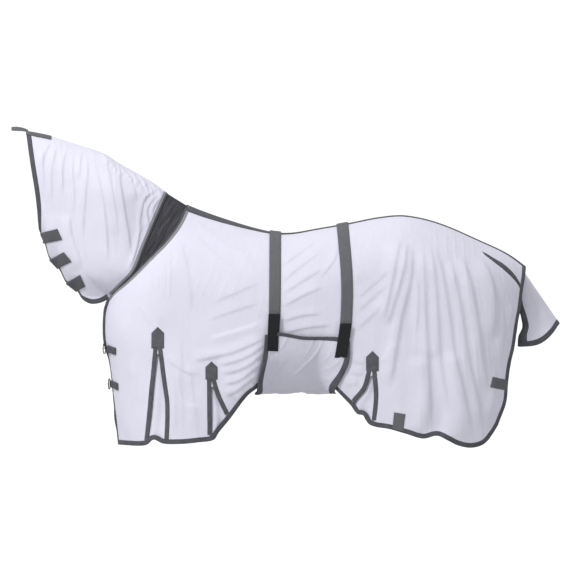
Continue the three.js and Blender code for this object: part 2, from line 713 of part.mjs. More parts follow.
// Throat tabs: each is sewn to the far edge, crosses the throat and sticks to the near side. Corners are
// the upper edge, upper inner, lower inner and lower edge ones in the side view.
const THROAT_TABS = [
  { name: "upper", corners: [[-1080, 0], [-1003, 19], [-981, -28], [-1058, -43]] },
  { name: "middle", corners: [[-1036, -112], [-974, -81], [-940, -121], [-998, -151]] },
  { name: "lower", corners: [[-965, -212], [-904, -178], [-882, -228], [-918, -249]] },
];
function throatTab([upperEdge, upperIn, lowerIn, lowerEdge]) {
  const place = (t, u) => [0, 1].map((k) =>
    mix(mix(lowerEdge[k], upperEdge[k], u), mix(lowerIn[k], upperIn[k], u), t));
  const near = steps(4).map((t) => [0, 0.5, 1].map((u) => neck.point(...place(t, u))));
  const grid = [near[0].map(flipY), ...near];
  return gridSolid(grid, gridNormals(grid), LAYER.throatTab, TRIM);
}
for (const { name, corners } of THROAT_TABS) add(`throat_tab_${name}`, throatTab(corners), hook);

// ---------------------------------------------------------------- sheets with their own shapes

// These sheets are given by at(a, b). The sheet and the binding along its edges lie side by side: the sheet
// keeps inside the inner places, and the binding runs between the outer places and the inner ones.
function bindingRound(at, places, inner, low) {
  const rows = places.map((place) => [place, inner(place)].map(([a, b]) => at(a, b)));
  return gridSolid(rows, gridNormals(rows), low, TRIM);
}

// Tail flap: a hood over the tail, from the near edge (a = -1) over its ridge to the far edge (a = 1), and
// from the dock (b = 0) down to its free end (b = 1).
const TAIL = { dock: [1009, -162], ridge: [1162, -392], sideTop: -216, sideEnd: -490 };
const tailSideX = smooth([[0, 985], [0.35, 990], [0.55, 1003], [0.7, 1008], [0.84, 992], [1, 989]]);
function tailFlap(a, b) {
  const turn = (a * Math.PI) / 2;
  const share = Math.cos(turn);
  const ridge = [0, 1].map((k) => mix(TAIL.dock[k], TAIL.ridge[k], b));
  const side = [tailSideX(b), mix(TAIL.sideTop, TAIL.sideEnd, b)];
  const drop = mix(share, share ** 3, b);
  const y = mix(56, 118, b) * Math.sin(turn);
  return new THREE.Vector3(mix(side[0], ridge[0], share), y, mix(side[1], ridge[1], drop));
}
const TAIL_INNER = { a: 0.87, b: 0.925, gap: 0.012 };
const tailInner = ([a, b]) => [clamp(a, -TAIL_INNER.a, TAIL_INNER.a), Math.min(b, TAIL_INNER.b)];
const TAIL_ROWS = 12;
const tailEdge = [
  ...steps(TAIL_ROWS).map((t) => [-1, mix(0.02, 1, t)]),
  ...steps(12).slice(1).map((t) => [mix(-1, 1, t), 1]),
  ...steps(TAIL_ROWS).slice(1).map((t) => [1, mix(1, 0.02, t)]),
];
const tailGrid = steps(TAIL_ROWS).map((tb) => steps(12).map((ta) => {
  const reach = TAIL_INNER.a - TAIL_INNER.gap;
  return tailFlap(mix(-reach, reach, ta), mix(0, TAIL_INNER.b - TAIL_INNER.gap, tb));
}));
add("tail_flap", gridSolid(tailGrid, gridNormals(tailGrid), LAYER.cloth, CLOTH), cloth);
add("tail_flap_binding", bindingRound(tailFlap, tailEdge, tailInner, LAYER.cloth), binding);

// Belly flap: from its free edge on the near side (b = 0) under the belly to the far hem (b = 1); a runs
// from the front edge (0) to the rear edge (1). Each section is the trunk's, closed straight underneath.
const FLAP_TOP = smooth([[0, -436], [0.17, -425], [0.45, -441], [0.86, -446], [1, -467]]);
const FLAP_FRONT = smooth([[0, -107], [0.12, -118], [0.28, -147], [1, -150]]);
const FLAP_REAR = smooth([[0, 258], [0.1, 254], [0.28, 199], [1, 196]]);
const FLAP_FAR = -588; // height of its sewn edge on the far side
function bellyFlap(a, b) {
  const x = mix(FLAP_FRONT(b), FLAP_REAR(b), a);
  const near = steps(16).map((t) => mix(FLAP_TOP(a), BELLY_Z, 1 - (1 - t) ** 2));
  const far = steps(16).map((t) => mix(BELLY_Z, FLAP_FAR, t ** 2));
  const section = [
    ...near.map((z) => trunk.point(x, z)),
    ...far.map((z) => flipY(trunk.point(x, z))),
  ];
  const reach = [0];
  for (let i = 1; i < section.length; i++) reach.push(reach[i - 1] + section[i].distanceTo(section[i - 1]));
  const target = clamp(b, 0, 1) * reach.at(-1);
  const i = Math.max(reach.findIndex((r) => r >= target), 1);
  const point = section[i - 1].clone().lerp(section[i], (target - reach[i - 1]) / (reach[i] - reach[i - 1]));
  point.x = x;
  return point;
}
const FLAP_INNER = { a: 0.055, b: 0.022, gap: 0.015 };
const flapInner = ([a, b]) => [clamp(a, FLAP_INNER.a, 1 - FLAP_INNER.a), Math.max(b, FLAP_INNER.b)];
const flapEdge = [
  ...steps(13).map((t) => [1, 1 - t]),
  ...steps(7).slice(1).map((t) => [1 - t, 0]),
  ...steps(13).slice(1).map((t) => [0, t]),
];
const flapGrid = steps(13).map((tb) => steps(6).map((ta) => {
  const edge = FLAP_INNER.a + FLAP_INNER.gap;
  return bellyFlap(mix(edge, 1 - edge, ta), mix(FLAP_INNER.b + FLAP_INNER.gap, 1, tb));
}));
add("belly_flap", gridSolid(flapGrid, gridNormals(flapGrid), LAYER.flap, CLOTH), cloth);
add("belly_flap_binding", bindingRound(bellyFlap, flapEdge, flapInner, LAYER.flap), binding);

// Hook tabs: sewn to the flap's near edge, they stick to the surcingles above it.
const hookTab = (centre, top, bottom) => outlineSolid(trunk, divided([
  [centre(top) - WEBBING / 2, top], [centre(top) + WEBBING / 2, top],
  [centre(bottom) + WEBBING / 2, bottom], [centre(bottom) - WEBBING / 2, bottom],
], 30), LAYER.hook);
add("belly_hook_tab_front", hookTab(FRONT_CENTRE, -347, -502), hook);
add("belly_hook_tab_rear", hookTab(REAR_CENTRE, -388, -533), hook);

export default flySheet;
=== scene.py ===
import math

import bpy
import numpy as np
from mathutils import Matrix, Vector


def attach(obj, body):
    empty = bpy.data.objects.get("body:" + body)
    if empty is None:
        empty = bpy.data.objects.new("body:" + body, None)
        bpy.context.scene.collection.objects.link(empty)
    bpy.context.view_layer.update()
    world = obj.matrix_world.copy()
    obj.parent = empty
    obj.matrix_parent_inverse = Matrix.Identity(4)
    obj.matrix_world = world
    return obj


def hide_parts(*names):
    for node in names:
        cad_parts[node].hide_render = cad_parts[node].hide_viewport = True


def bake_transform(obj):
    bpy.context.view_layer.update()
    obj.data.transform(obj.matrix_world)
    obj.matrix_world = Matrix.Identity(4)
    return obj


# The looks of a horse fly sheet: cloth with folds, bound edges, webbing and buckles. Shapes are worked out
# in millimetres, +X to the tail, +Z up, and the horse's near side at -Y.

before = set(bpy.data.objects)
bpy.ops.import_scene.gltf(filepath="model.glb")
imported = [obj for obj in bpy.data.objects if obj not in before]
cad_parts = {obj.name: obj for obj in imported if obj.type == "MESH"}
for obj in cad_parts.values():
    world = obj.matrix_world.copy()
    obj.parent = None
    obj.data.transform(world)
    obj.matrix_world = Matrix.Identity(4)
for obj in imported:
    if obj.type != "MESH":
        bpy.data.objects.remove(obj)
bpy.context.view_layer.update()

# -------- camera, light and floor

scene = bpy.context.scene
camera = bpy.data.objects.new("camera", bpy.data.cameras.new("camera"))
scene.collection.objects.link(camera)
camera.data.lens = 600
camera.data.sensor_width = 36
camera.data.clip_end = 1000
camera.location = (-0.0086, -41.53, -0.2365)  # far off, so that near and far edges coincide
camera.rotation_euler = (math.radians(90), 0, 0)
scene.camera = camera
scene.view_settings.view_transform = "Standard"

world = bpy.data.worlds.new("studio")
scene.world = world
world.use_nodes = True
SKY = (  # (height from below to overhead, brightness)
    (0.0, 0.30), (0.35, 0.42), (0.465, 0.62), (0.485, 1.0), (0.515, 1.0), (0.60, 0.66), (1.0, 0.54),
)
sky = world.node_tree
background = sky.nodes["Background"]
background.inputs["Strength"].default_value = 1.06
ramp = sky.nodes.new("ShaderNodeValToRGB")
while len(ramp.color_ramp.elements) < len(SKY):
    ramp.color_ramp.elements.new(0.5)
for element, (place, level) in zip(ramp.color_ramp.elements, SKY):
    element.position = place
    element.color = (level, level, level, 1)
direction = sky.nodes.new("ShaderNodeTexCoord")
parts = sky.nodes.new("ShaderNodeSeparateXYZ")
height = sky.nodes.new("ShaderNodeMapRange")
height.inputs["From Min"].default_value = -1
sky.links.new(direction.outputs["Generated"], parts.inputs[0])
sky.links.new(parts.outputs["Z"], height.inputs["Value"])
sky.links.new(height.outputs["Result"], ramp.inputs["Fac"])
sky.links.new(ramp.outputs["Color"], background.inputs["Color"])


def area_light(name, place, target, size, power):
    data = bpy.data.lights.new(name, "AREA")
    data.shape = "DISK"
    data.size = size
    data.energy = power
    lamp = bpy.data.objects.new(name, data)
    scene.collection.objects.link(lamp)
    lamp.location = place
    lamp.rotation_euler = (Vector(target) - Vector(place)).to_track_quat("-Z", "Y").to_euler()


area_light("key", (-3.7, -4.5, 5.0), (0, 0, -0.3), 1.2, 370)
area_light("back", (3.0, 3.6, 3.6), (0, 0, -0.3), 2.0, 50)

# -------- lines and outlines


def mix(a, b, t):
    return a + (b - a) * t


def smoothstep(t):
    t = np.clip(t, 0, 1)
    return t * t * (3 - 2 * t)


def unit(v):
    return v / np.maximum(np.linalg.norm(v, axis=-1, keepdims=True), 1e-9)


def smooth(points):
    """A smooth function through (x, value) points in rising x, constant beyond its ends."""
    xs, ys = np.array(points, float).T
    last = len(xs) - 1
    before, after = np.maximum(np.arange(last + 1) - 1, 0), np.minimum(np.arange(last + 1) + 1, last)
    slope = (ys[after] - ys[before]) / (xs[after] - xs[before])

    def value(x):
        x = np.clip(np.asarray(x, float), xs[0], xs[-1])
        i = np.clip(np.searchsorted(xs, x) - 1, 0, last - 1)
        span = xs[i + 1] - xs[i]
        t = (x - xs[i]) / span
        hermite = (2 * t - 3) * t * t
        bend = span * (slope[i] * t * (1 - t) ** 2 - slope[i + 1] * t * t * (1 - t))
        return ys[i] * (1 + hermite) - ys[i + 1] * hermite + bend

    return value


def line(points):
    """A smooth line through (x, z) points, as a function of the share of its length."""
    p = np.array(points, float)
    p = np.vstack([2 * p[0] - p[1], p, 2 * p[-1] - p[-2]])
    dense = []
    for a, b, c, d in zip(p, p[1:], p[2:], p[3:]):
        ab, bc, cd = (math.sqrt(math.dist(*pair)) for pair in ((a, b), (b, c), (c, d)))
        m1 = ((b - a) / ab - (c - a) / (ab + bc) + (c - b) / bc) * bc
        m2 = ((c - b) / bc - (d - b) / (bc + cd) + (d - c) / cd) * bc
        t = np.linspace(0, 1, 24, endpoint=False)[:, None]
        dense.append(
            (2 * t**3 - 3 * t**2 + 1) * b + (t**3 - 2 * t**2 + t) * m1
            + (3 * t**2 - 2 * t**3) * c + (t**3 - t**2) * m2
        )
    dense = np.vstack([*dense, p[-2]])
    reach = np.concatenate([[0], np.cumsum(np.linalg.norm(np.diff(dense, axis=0), axis=1))])

    def at(t):
        s = np.clip(np.asarray(t, float), 0, 1) * reach[-1]
        return np.stack([np.interp(s, reach, dense[:, k]) for k in (0, 1)], axis=-1)

    return at


def steps(n, start=0.0, end=1.0):
    return np.linspace(start, end, n + 1)


BELLY_Z = -678
BELLY_ROUNDNESS = 2.4
SKIRT_FALL = 420
SKIRT_FLARE = 0.04
CHEST_LENGTH = 258
BUTTOCK_LENGTH = 330
LEAST_DROP = 0.02
LEAST_CHEST = 0.4
NECK_INSET = 15

spine_height = smooth([
    (-800, 342), (-645, 249), (-529, 170), (-447, 122), (-275, 58), (-99, 8), (0, 0), (120, 19),
    (258, 43), (387, 68), (499, 75), (645, 42), (834, -39), (942, -91), (1019, -146), (1100, -215),
])
trunk_half_width = smooth([
    (-800, 228), (-600, 262), (-400, 286), (-150, 305), (60, 318), (250, 318), (450, 312), (700, 296),
    (900, 272), (1060, 245),
])
crown_depth = smooth([(-800, 430), (-440, 385), (-200, 320), (60, 290), (450, 250), (1060, 235)])
ridge_depth = smooth([(-800, 60), (-450, 45), (-250, 15), (-100, 0.01), (1060, 0.01)])
belly_share = smooth([(-400, 0), (-150, 0.55), (-50, 1), (120, 1), (210, 0.55), (470, 0)])
chest_x = smooth([
    (-950, -744), (-760, -760), (-600, -774), (-470, -797), (-400, -801), (-330, -797), (-280, -784),
    (-200, -748), (-74, -676), (19, -634), (120, -600),
])
buttock_x = smooth([(-950, 985), (-800, 1000), (-600, 1028), (-300, 1062), (-100, 1085)])


def rounding(distance, length):
    t = np.clip(distance / length, 0, 1)
    return np.sqrt(1 - (1 - t) ** 2)


def trunk_width(x, z):
    drop = np.maximum(spine_height(x) - z, LEAST_DROP)
    crown = crown_depth(x)
    ridge = np.sqrt(drop / (drop + np.maximum(ridge_depth(x), 0)))
    side = trunk_half_width(x) * rounding(drop, crown) * ridge
    fall = np.maximum(drop - crown, 0)
    share = np.clip(belly_share(x), 0, 1)
    belly = spine_height(x) - crown - BELLY_Z + SKIRT_FALL * (1 - share) ** 2
    round_part = (1 - np.minimum(fall / belly, 0.9999) ** BELLY_ROUNDNESS) ** (1 / BELLY_ROUNDNESS)
    straight = 1 + SKIRT_FLARE * fall / 400
    front = rounding(np.maximum(x - chest_x(z), LEAST_CHEST), CHEST_LENGTH)
    back = rounding(buttock_x(z) - x, BUTTOCK_LENGTH)
    return side * mix(straight, round_part, share) * front * back


WITHERS = (-447, 122)
CHEST_TOP = (-781, -285)
HEM_FRONT = (-741, -912)
HEM_REAR = (895, -826)
DOCK = (1019, -146)
NECKLINE = [WITHERS, (-492, 24), (-571, -74), (-646, -151), (-703, -207), (-753, -249), CHEST_TOP]
CHEST = [
    CHEST_TOP, (-795, -330), (-800, -400), (-796, -473), (-779, -560), (-771, -630), (-759, -740),
    (-748, -840), HEM_FRONT,
]


def spine_line(t):
    x = mix(WITHERS[0], DOCK[0], np.asarray(t, float))
    return np.stack([x, spine_height(x)], axis=-1)


neckline = line(NECKLINE)
chest_line = line(CHEST)
front_line = line(NECKLINE + CHEST[1:])
HEM = [
    HEM_FRONT, (-619, -911), (-586, -888), (-545, -904), (-473, -906), (-396, -899), (-327, -887),
    (-308, -858), (-262, -802), (-181, -697), (-146, -669), (-60, -590), (30, -566), (120, -590),
    (202, -677), (262, -741), (290, -777), (315, -783), (338, -819), (366, -831), (426, -841),
    (499, -862), (572, -882), (632, -870), (675, -889), (722, -912), (780, -922), (832, -907),
    (869, -866), HEM_REAR,
]
hem_line = line(HEM)
hem_height = smooth(HEM[1:-5])
rear_line = line([
    DOCK, (1012, -195), (1002, -245), (993, -318), (980, -391), (968, -482), (946, -572), (937, -654),
    (929, -727), HEM_REAR,
])

crest_height = smooth([
    (-1160, 443), (-1032, 417), (-925, 383), (-804, 344), (-744, 305), (-645, 249), (-581, 211),
    (-529, 172), (-440, 120),
])
throat_height = smooth([
    (-1150, 60), (-1084, 12), (-1058, -48), (-1036, -117), (-998, -156), (-965, -217), (-918, -254),
    (-896, -290), (-863, -345), (-774, -420), (-500, -470),
])
neck_half_width = smooth([(-1150, 92), (-1000, 112), (-800, 138), (-500, 180)])
NECK_CROWN = 190
NECK_THROAT = 170
NECK_BLEND = 260
neck_rear_line = line([(-529, 172), (-580, 50), (-628, -68), (-671, -172), (-716, -219), (-770, -272)])
neck_front_line = line([(-1141, 439), (-1120, 300), (-1096, 150), (-1084, 17)])
neck_throat_line = line([
    (-1084, 17), (-1058, -43), (-1036, -112), (-998, -151), (-965, -212), (-918, -249), (-896, -283),
    (-863, -303), (-819, -299), (-770, -272),
])
rear_edge_x = smooth([(-272, -770), (-219, -716), (-172, -671), (-68, -628), (50, -580), (172, -529)])


def crest_line(t):
    x = mix(-1141, -529, np.asarray(t, float))
    return np.stack([x, crest_height(x)], axis=-1)


def throat_share(x, z):
    return (crest_height(x) - z) / (crest_height(x) - throat_height(x))


def rear_widths():
    t = steps(12)
    x, z = neck_rear_line(t).T
    width = np.maximum(trunk_width(x, z) - NECK_INSET * smoothstep(4 * t), 0)
    return smooth(list(zip(throat_share(x, z), width)))


rear_width = rear_widths()


def neck_width(x, z):
    drop = np.maximum(crest_height(x) - z, LEAST_DROP)
    crown = rounding(drop, NECK_CROWN) * np.sqrt(drop / (drop + 12))
    throat = rounding(np.maximum(z - throat_height(x), 1), NECK_THROAT)
    blend = smoothstep(1 - (rear_edge_x(z) - x) / NECK_BLEND)
    return mix(neck_half_width(x) * crown * throat, rear_width(throat_share(x, z)), blend)


# -------- folds in the cloth


def wander(x, z, scale, seed):
    """Smooth unevenness between -1 and 1 with features of about that many millimetres."""
    r = np.random.default_rng(seed)
    total = 0
    for _ in range(7):
        angle, phase = r.uniform(0, 2 * math.pi, 2)
        pace = 2 * math.pi / (scale * r.uniform(0.7, 1.6))
        total = total + np.sin((x * math.cos(angle) + z * math.sin(angle)) * pace + phase)
    return total / 4


class Fold:
    """A ridge or hollow along a line; steep on its left side, soft on its right, fading at both ends."""

    def __init__(self, points, height, steep, soft, fade=0.3):
        self.path = line(points)(steps(14))
        self.height, self.steep, self.soft, self.fade = height, steep, soft, fade

    def __call__(self, x, z):
        best = np.full(x.shape, 1e9)
        signed, share = np.zeros(x.shape), np.zeros(x.shape)
        count = len(self.path) - 1
        near = (
            (x > self.path[:, 0].min() - 3 * self.soft) & (x < self.path[:, 0].max() + 3 * self.soft)
            & (z > self.path[:, 1].min() - 3 * self.soft) & (z < self.path[:, 1].max() + 3 * self.soft)
        )
        px, pz = x[near], z[near]
        best, signed, share = best[near], signed[near], share[near]
        for i, (a, b) in enumerate(zip(self.path, self.path[1:])):
            run = b - a
            t = np.clip(((px - a[0]) * run[0] + (pz - a[1]) * run[1]) / (run @ run), 0, 1)
            dx, dz = px - a[0] - t * run[0], pz - a[1] - t * run[1]
            d = np.hypot(dx, dz)
            closer = d < best
            best = np.where(closer, d, best)
            side = np.sign(run[0] * dz - run[1] * dx)
            signed = np.where(closer, d * side, signed)
            share = np.where(closer, (i + t) / count, share)
        spread = np.where(signed > 0, self.steep, self.soft)
        ends = smoothstep(share / self.fade) * smoothstep((1 - share) / self.fade)
        result = np.zeros(x.shape)
        result[near] = self.height * np.exp(-((signed / spread) ** 2)) * ends
        return result


def folds(*groups):
    """Folds of one height, steepness, softness and fade for each group of lines."""
    return [Fold(path, *shape) for shape, paths in groups for path in paths]


NECK_FOLDS = folds(
    ((3.6, 6, 18, 0.3), [
        [(-1075, 384), (-1070, 314), (-1066, 239), (-1062, 150)],
        [(-1032, 402), (-1053, 362), (-1066, 325), (-1068, 280)],
        [(-1000, 395), (-1022, 330), (-1032, 250), (-1030, 120)],
        [(-962, 380), (-978, 325), (-984, 239), (-985, 150)],
        [(-935, 372), (-941, 282), (-933, 163), (-935, 60)],
        [(-903, 362), (-908, 300), (-912, 228)],
    ]),
    ((4.6, 7, 24, 0.3), [
        [(-876, 350), (-879, 239), (-892, 77), (-898, -60)],
        [(-849, 334), (-838, 271), (-806, 120), (-790, -52), (-785, -180)],
        [(-800, 325), (-782, 240), (-760, 120), (-742, -30)],
        [(-726, 290), (-709, 249), (-683, 206), (-665, 130)],
        [(-699, 276), (-672, 235), (-645, 190), (-628, 140)],
        [(-665, 255), (-640, 220), (-618, 172), (-608, 130)],
    ]),
    ((7.5, 8, 32, 0.2), [
        [(-747, 303), (-740, 228), (-726, 142), (-704, 13), (-688, -105)],
        [(-957, 88), (-946, -9), (-892, -159)],
    ]),
    ((4.6, 6, 14, 0.25), [
        [(-548, 166), (-580, 131), (-597, 94), (-582, 58)],
        [(-562, 176), (-600, 140), (-620, 98), (-612, 45), (-606, 0)],
        [(-580, 190), (-630, 150), (-644, 100), (-655, 10)],
        [(-640, 60), (-652, 0), (-668, -80), (-700, -170)],
    ]),
)
SIDE_FOLDS = folds(
    ((3.4, 9, 34, 0.3), [  # from the withers over the shoulder
        [(-441, 24), (-366, -62), (-258, -148), (-172, -213)],
        [(-398, 34), (-333, -19), (-215, -84), (-129, -127)],
        [(-495, 13), (-462, -84), (-441, -191), (-430, -299), (-441, -374)],
        [(-420, 60), (-340, 0), (-240, -40), (-130, -70)],
        [(-118, -202), (-215, -245), (-344, -299)],
        [(-110, -290), (-240, -330), (-380, -380)],
        [(-600, -150), (-590, -250), (-560, -340), (-520, -400)],
    ]),
    ((2.2, 5, 12, 0.3), [
        *([(x, -370 - 0.6 * x), (x + 4, -170), (x + 2, -300)] for x in (-600, -574, -556, -541, -520)),
        [(-654, -279), (-628, -335), (-593, -396)],
    ]),
    ((4.2, 11, 38, 0.25), [  # skirt
        [(-486, -556), (-474, -690), (-437, -745), (-364, -745)],
        [(-700, -330), (-690, -440), (-680, -560), (-664, -640)],
        [(-560, -545), (-510, -620), (-496, -740), (-500, -860)],
        [(-660, -500), (-668, -640), (-690, -800), (-690, -900)],
        [(-440, -540), (-428, -640), (-414, -760), (-404, -880)],
        [(-480, -420), (-470, -560), (-470, -720), (-455, -890)],
    ]),
    ((8.0, 11, 30, 0.2), [  # pulled from the flap's front corner
        [(-100, -440), (-172, -476), (-247, -508), (-320, -526), (-430, -548)],
        [(-105, -468), (-183, -524), (-258, -553), (-316, -560)],
        [(-110, -500), (-172, -556), (-236, -589), (-305, -600)],
        [(-118, -546), (-172, -590), (-231, -632), (-296, -645)],
        [(-130, -600), (-183, -632), (-236, -675), (-290, -700)],
        [(-150, -640), (-193, -675), (-240, -725)],
    ]),
    ((5.0, 11, 28, 0.3), [
        [(-371, -605), (-445, -592), (-507, -549), (-533, -518)],
        [(-380, -470), (-280, -440), (-150, -400), (-102, -372)],
    ]),
    ((4.0, 7, 22, 0.25), [  # behind the front surcingle
        [(118, -30), (43, -84), (-38, -142)],
        [(151, -62), (65, -127), (-38, -208)],
        [(160, -140), (75, -191), (-38, -262)],
        [(150, -225), (54, -267), (-38, -318)],
        [(140, -345), (60, -350), (-38, -378)],
        [(190, -392), (70, -404), (-36, -430)],
        [(205, -40), (190, -110), (120, -200)],
    ]),
    ((3.2, 9, 28, 0.3), [  # behind the rear surcingle and round the rear gusset
        [(430, -140), (376, -202), (323, -245), (275, -300)],
        [(430, -200), (387, -245), (333, -293), (275, -350)],
        [(410, -280), (360, -340), (275, -420)],
        [(328, -562), (301, -553), (263, -538)],
        [(322, -606), (290, -600), (250, -596)],
        [(300, -645), (272, -645), (235, -652)],
        [(386, -560), (420, -520), (440, -460)],
    ]),
    ((10.0, 15, 36, 0.15), [  # flutes that hang from the loin
        [(468, -19), (451, -105), (425, -234), (392, -374)],
        [(494, -30), (484, -138), (446, -277), (408, -406)],
        [(516, -35), (511, -191), (473, -353), (446, -514), (419, -675)],
        [(564, -30), (570, -191), (575, -353), (586, -525), (591, -697), (586, -860)],
        [(591, -30), (613, -191), (629, -374), (640, -568), (677, -783)],
        [(613, -41), (645, -170), (677, -353), (699, -525), (742, -718), (774, -895)],
        [(672, -84), (699, -191), (731, -353), (753, -525), (796, -718), (817, -870)],
        [(720, -84), (763, -202), (796, -374), (817, -546), (849, -697)],
    ]),
    ((11.0, 14, 44, 0.25), [[(796, -95), (849, -181), (871, -277), (871, -374), (858, -480)]]),
    ((4.5, 9, 22, 0.3), [
        [(903, -277), (914, -406), (903, -568)],
        [(946, -300), (950, -360), (938, -440)],
        [(880, -560), (872, -700), (850, -820)],
        [(540, -150), (545, -300), (540, -450)],
    ]),
    ((-9, 34, 46, 0.15), [[(600, -500), (640, -700), (640, -880)]]),
    ((9, 34, 50, 0.15), [[(690, -500), (716, -700), (722, -915)], [(560, -520), (566, -700), (556, -880)]]),
)
CREST_CREASES = folds(*[
    ((3.6, 5, 10, 0.2), [[
        (x, float(crest_height(x)) - 3), (x + 16, float(crest_height(x)) - 26 - 3 * (k % 3)),
        (x + 30 + 6 * (k % 2), float(crest_height(x)) - 56 - 9 * (k % 4)),
    ]])
    for k, x in enumerate(range(-815, -560, 17))
])


def pleats(run, down, spacing, seed):
    """Fine creases across run, uneven in height and broken off here and there."""
    phase = run / spacing + 1.1 * wander(run, 0.3 * down, 170, seed)
    here = np.clip(0.35 + wander(run, 0.35 * down, 120, seed + 1), 0, 1)
    return here * (1 - np.abs(np.sin(phase))) ** 3


def trunk_fold(x, z, side):
    shift = 0 if side < 0 else 26 * np.sin(z / 130)
    total = sum(fold(x + shift, z) for fold in SIDE_FOLDS)
    total = total + 1.6 * wander(x, z, 190, 3 + side) + 0.4 * wander(x, z, 60, 5 + side)
    hang = 560 + (x - 560) / (1 - 0.4 * np.minimum(z, 0) / 850)
    quarter = smoothstep((x - 380) / 120)
    total = total + mix(0.7, 1.8, quarter) * pleats(hang, z, 12.5, 40 + side)
    fade = smoothstep((spine_height(x) - z) / mix(60, 70, quarter)) * smoothstep((x - chest_x(z)) / 60)
    return total * fade


def neck_fold(x, z, side):
    shift = 0 if side < 0 else 22 * np.sin(z / 110)
    total = sum(fold(x + shift, z) for fold in NECK_FOLDS + CREST_CREASES)
    total = total + 1.2 * wander(x, z, 150, 13 + side) + 0.4 * wander(x, z, 50, 15 + side)
    total = total + 1.5 * pleats(x + 0.08 * z, z, 11.0, 60 + side)
    fade = smoothstep((crest_height(x) - z) / 12) * smoothstep((rear_edge_x(z) - x) / 30)
    return total * fade * smoothstep((z - throat_height(x)) / 50)


class Surface:
    """The horse's outline: half width as a function of the side view, with the cloth's folds over it."""

    def __init__(self, width, fold):
        self.width, self.fold = width, fold

    def point(self, xz):
        x, z = xz[..., 0], xz[..., 1]
        return np.stack([x, -self.width(x, z), z], axis=-1)

    def normal(self, xz):
        x, z = xz[..., 0], xz[..., 1]
        e = 0.01
        dx = (self.width(x + e, z) - self.width(x - e, z)) / (2 * e)
        dz = (self.width(x, z) - self.width(x, z - e)) / e
        return unit(np.stack([-dx, -np.ones_like(dx), -dz], axis=-1))

    def laid(self, xz, height, side):
        """Points at a height over the cloth of one side: -1 is near and 1 is far."""
        lift = height + self.fold(xz[..., 0], xz[..., 1], side)
        p = self.point(xz) + self.normal(xz) * np.asarray(lift)[..., None]
        if side > 0:
            p = p * (1, -1, 1)
        return p


trunk = Surface(trunk_width, trunk_fold)
neck = Surface(neck_width, neck_fold)

# -------- meshes


def lengths(points, axis):
    d = np.linalg.norm(np.diff(points, axis=axis), axis=-1)
    return np.concatenate([np.zeros_like(np.take(d, [0], axis=axis)), np.cumsum(d, axis=axis)], axis=axis)


def sheet_uv(points):
    """Metres along and down a grid, so that a weave keeps its size."""
    return np.stack([lengths(points, 1), lengths(points, 0)], axis=-1) / 1000


class Piece:
    """Collects grids of quads and makes one smooth mesh of them."""

    def __init__(self, name, material, body, slot, replaces=()):
        self.name, self.material, self.body, self.slot, self.replaces = name, material, body, slot, replaces
        self.points, self.uv, self.faces = [], [], []
        self.count = 0

    def grid(self, points, uv=None, keep=None, closed=False, flip=False, caps=False):
        rows, columns = points.shape[:2]
        uv = sheet_uv(points) if uv is None else uv
        ids = np.arange(rows * columns).reshape(rows, columns) + self.count
        if closed:
            ids = np.concatenate([ids, ids[:, :1]], axis=1)
        quads = np.stack([ids[:-1, :-1], ids[1:, :-1], ids[1:, 1:], ids[:-1, 1:]], -1).reshape(-1, 4)
        if keep is not None:
            quads = quads[keep.reshape(-1)]
        faces = [list(q) for q in (quads[:, ::-1] if flip else quads).tolist()]
        if caps:
            for row, turned in ((0, flip), (rows - 1, not flip)):
                ring = ids[row, :columns].tolist()
                faces.append(ring if turned else ring[::-1])
        self.faces += faces
        self.points.append(points.reshape(-1, 3))
        self.uv.append(uv.reshape(-1, 2))
        self.count += rows * columns
        return self

    def make(self, thickness=0):
        mesh = bpy.data.meshes.new(self.name)
        mesh.from_pydata((np.vstack(self.points) / 1000).tolist(), [], self.faces)
        mesh.validate()
        layer = mesh.uv_layers.new(name="metres")
        vertices = np.zeros(len(mesh.loops), np.int32)
        mesh.loops.foreach_get("vertex_index", vertices)
        layer.data.foreach_set("uv", np.vstack(self.uv)[vertices].astype(np.float32).ravel())
        mesh.polygons.foreach_set("use_smooth", np.ones(len(mesh.polygons), bool))
        mesh.materials.append(self.material)
        obj = bpy.data.objects.new(self.name, mesh)
        scene.collection.objects.link(obj)
        if thickness:
            solidify = obj.modifiers.new("thickness", "SOLIDIFY")
            solidify.thickness = thickness / 1000
            solidify.offset = 0
        if self.body:
            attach(obj, self.body)
        if self.replaces:
            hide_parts(*self.replaces)
        return obj


def band(outer, inner):
    """The closed band between an outer face and an inner one."""
    return np.concatenate([outer, inner[:, ::-1]], axis=1)


def coons(top, bottom, left, right, rows, columns):
    """Places in the side view between four lines."""
    v, u = rows[:, None, None], columns[None, :, None]
    a, b, c, d = top(columns)[None], bottom(columns)[None], left(rows)[:, None], right(rows)[:, None]
    corners = mix(mix(top(0.0), top(1.0), u), mix(bottom(0.0), bottom(1.0), u), v)
    return mix(a, b, v) + mix(c, d, u) - corners


def offset_places(on, places, distances):
    """Places at distances square to a line on a surface, positive on its left side as it runs."""
    p = on.point(places)
    tangent = unit(np.gradient(p, axis=0))
    found = {0: places}
    for sign in (1, -1):
        xz, done = places.copy(), 0.0
        for target in sorted({abs(d) for d in distances if d * sign > 0}):
            count = max(1, math.ceil((target - done) / 4))
            for _ in range(count):
                inward = unit(np.cross(on.normal(xz), tangent)) * sign
                xz = xz + inward[:, [0, 2]] * (target - done) / count
            done = target
            found[sign * target] = xz
    return np.stack([found[d] for d in distances], axis=1)


TAPE_WAVE = 0.5


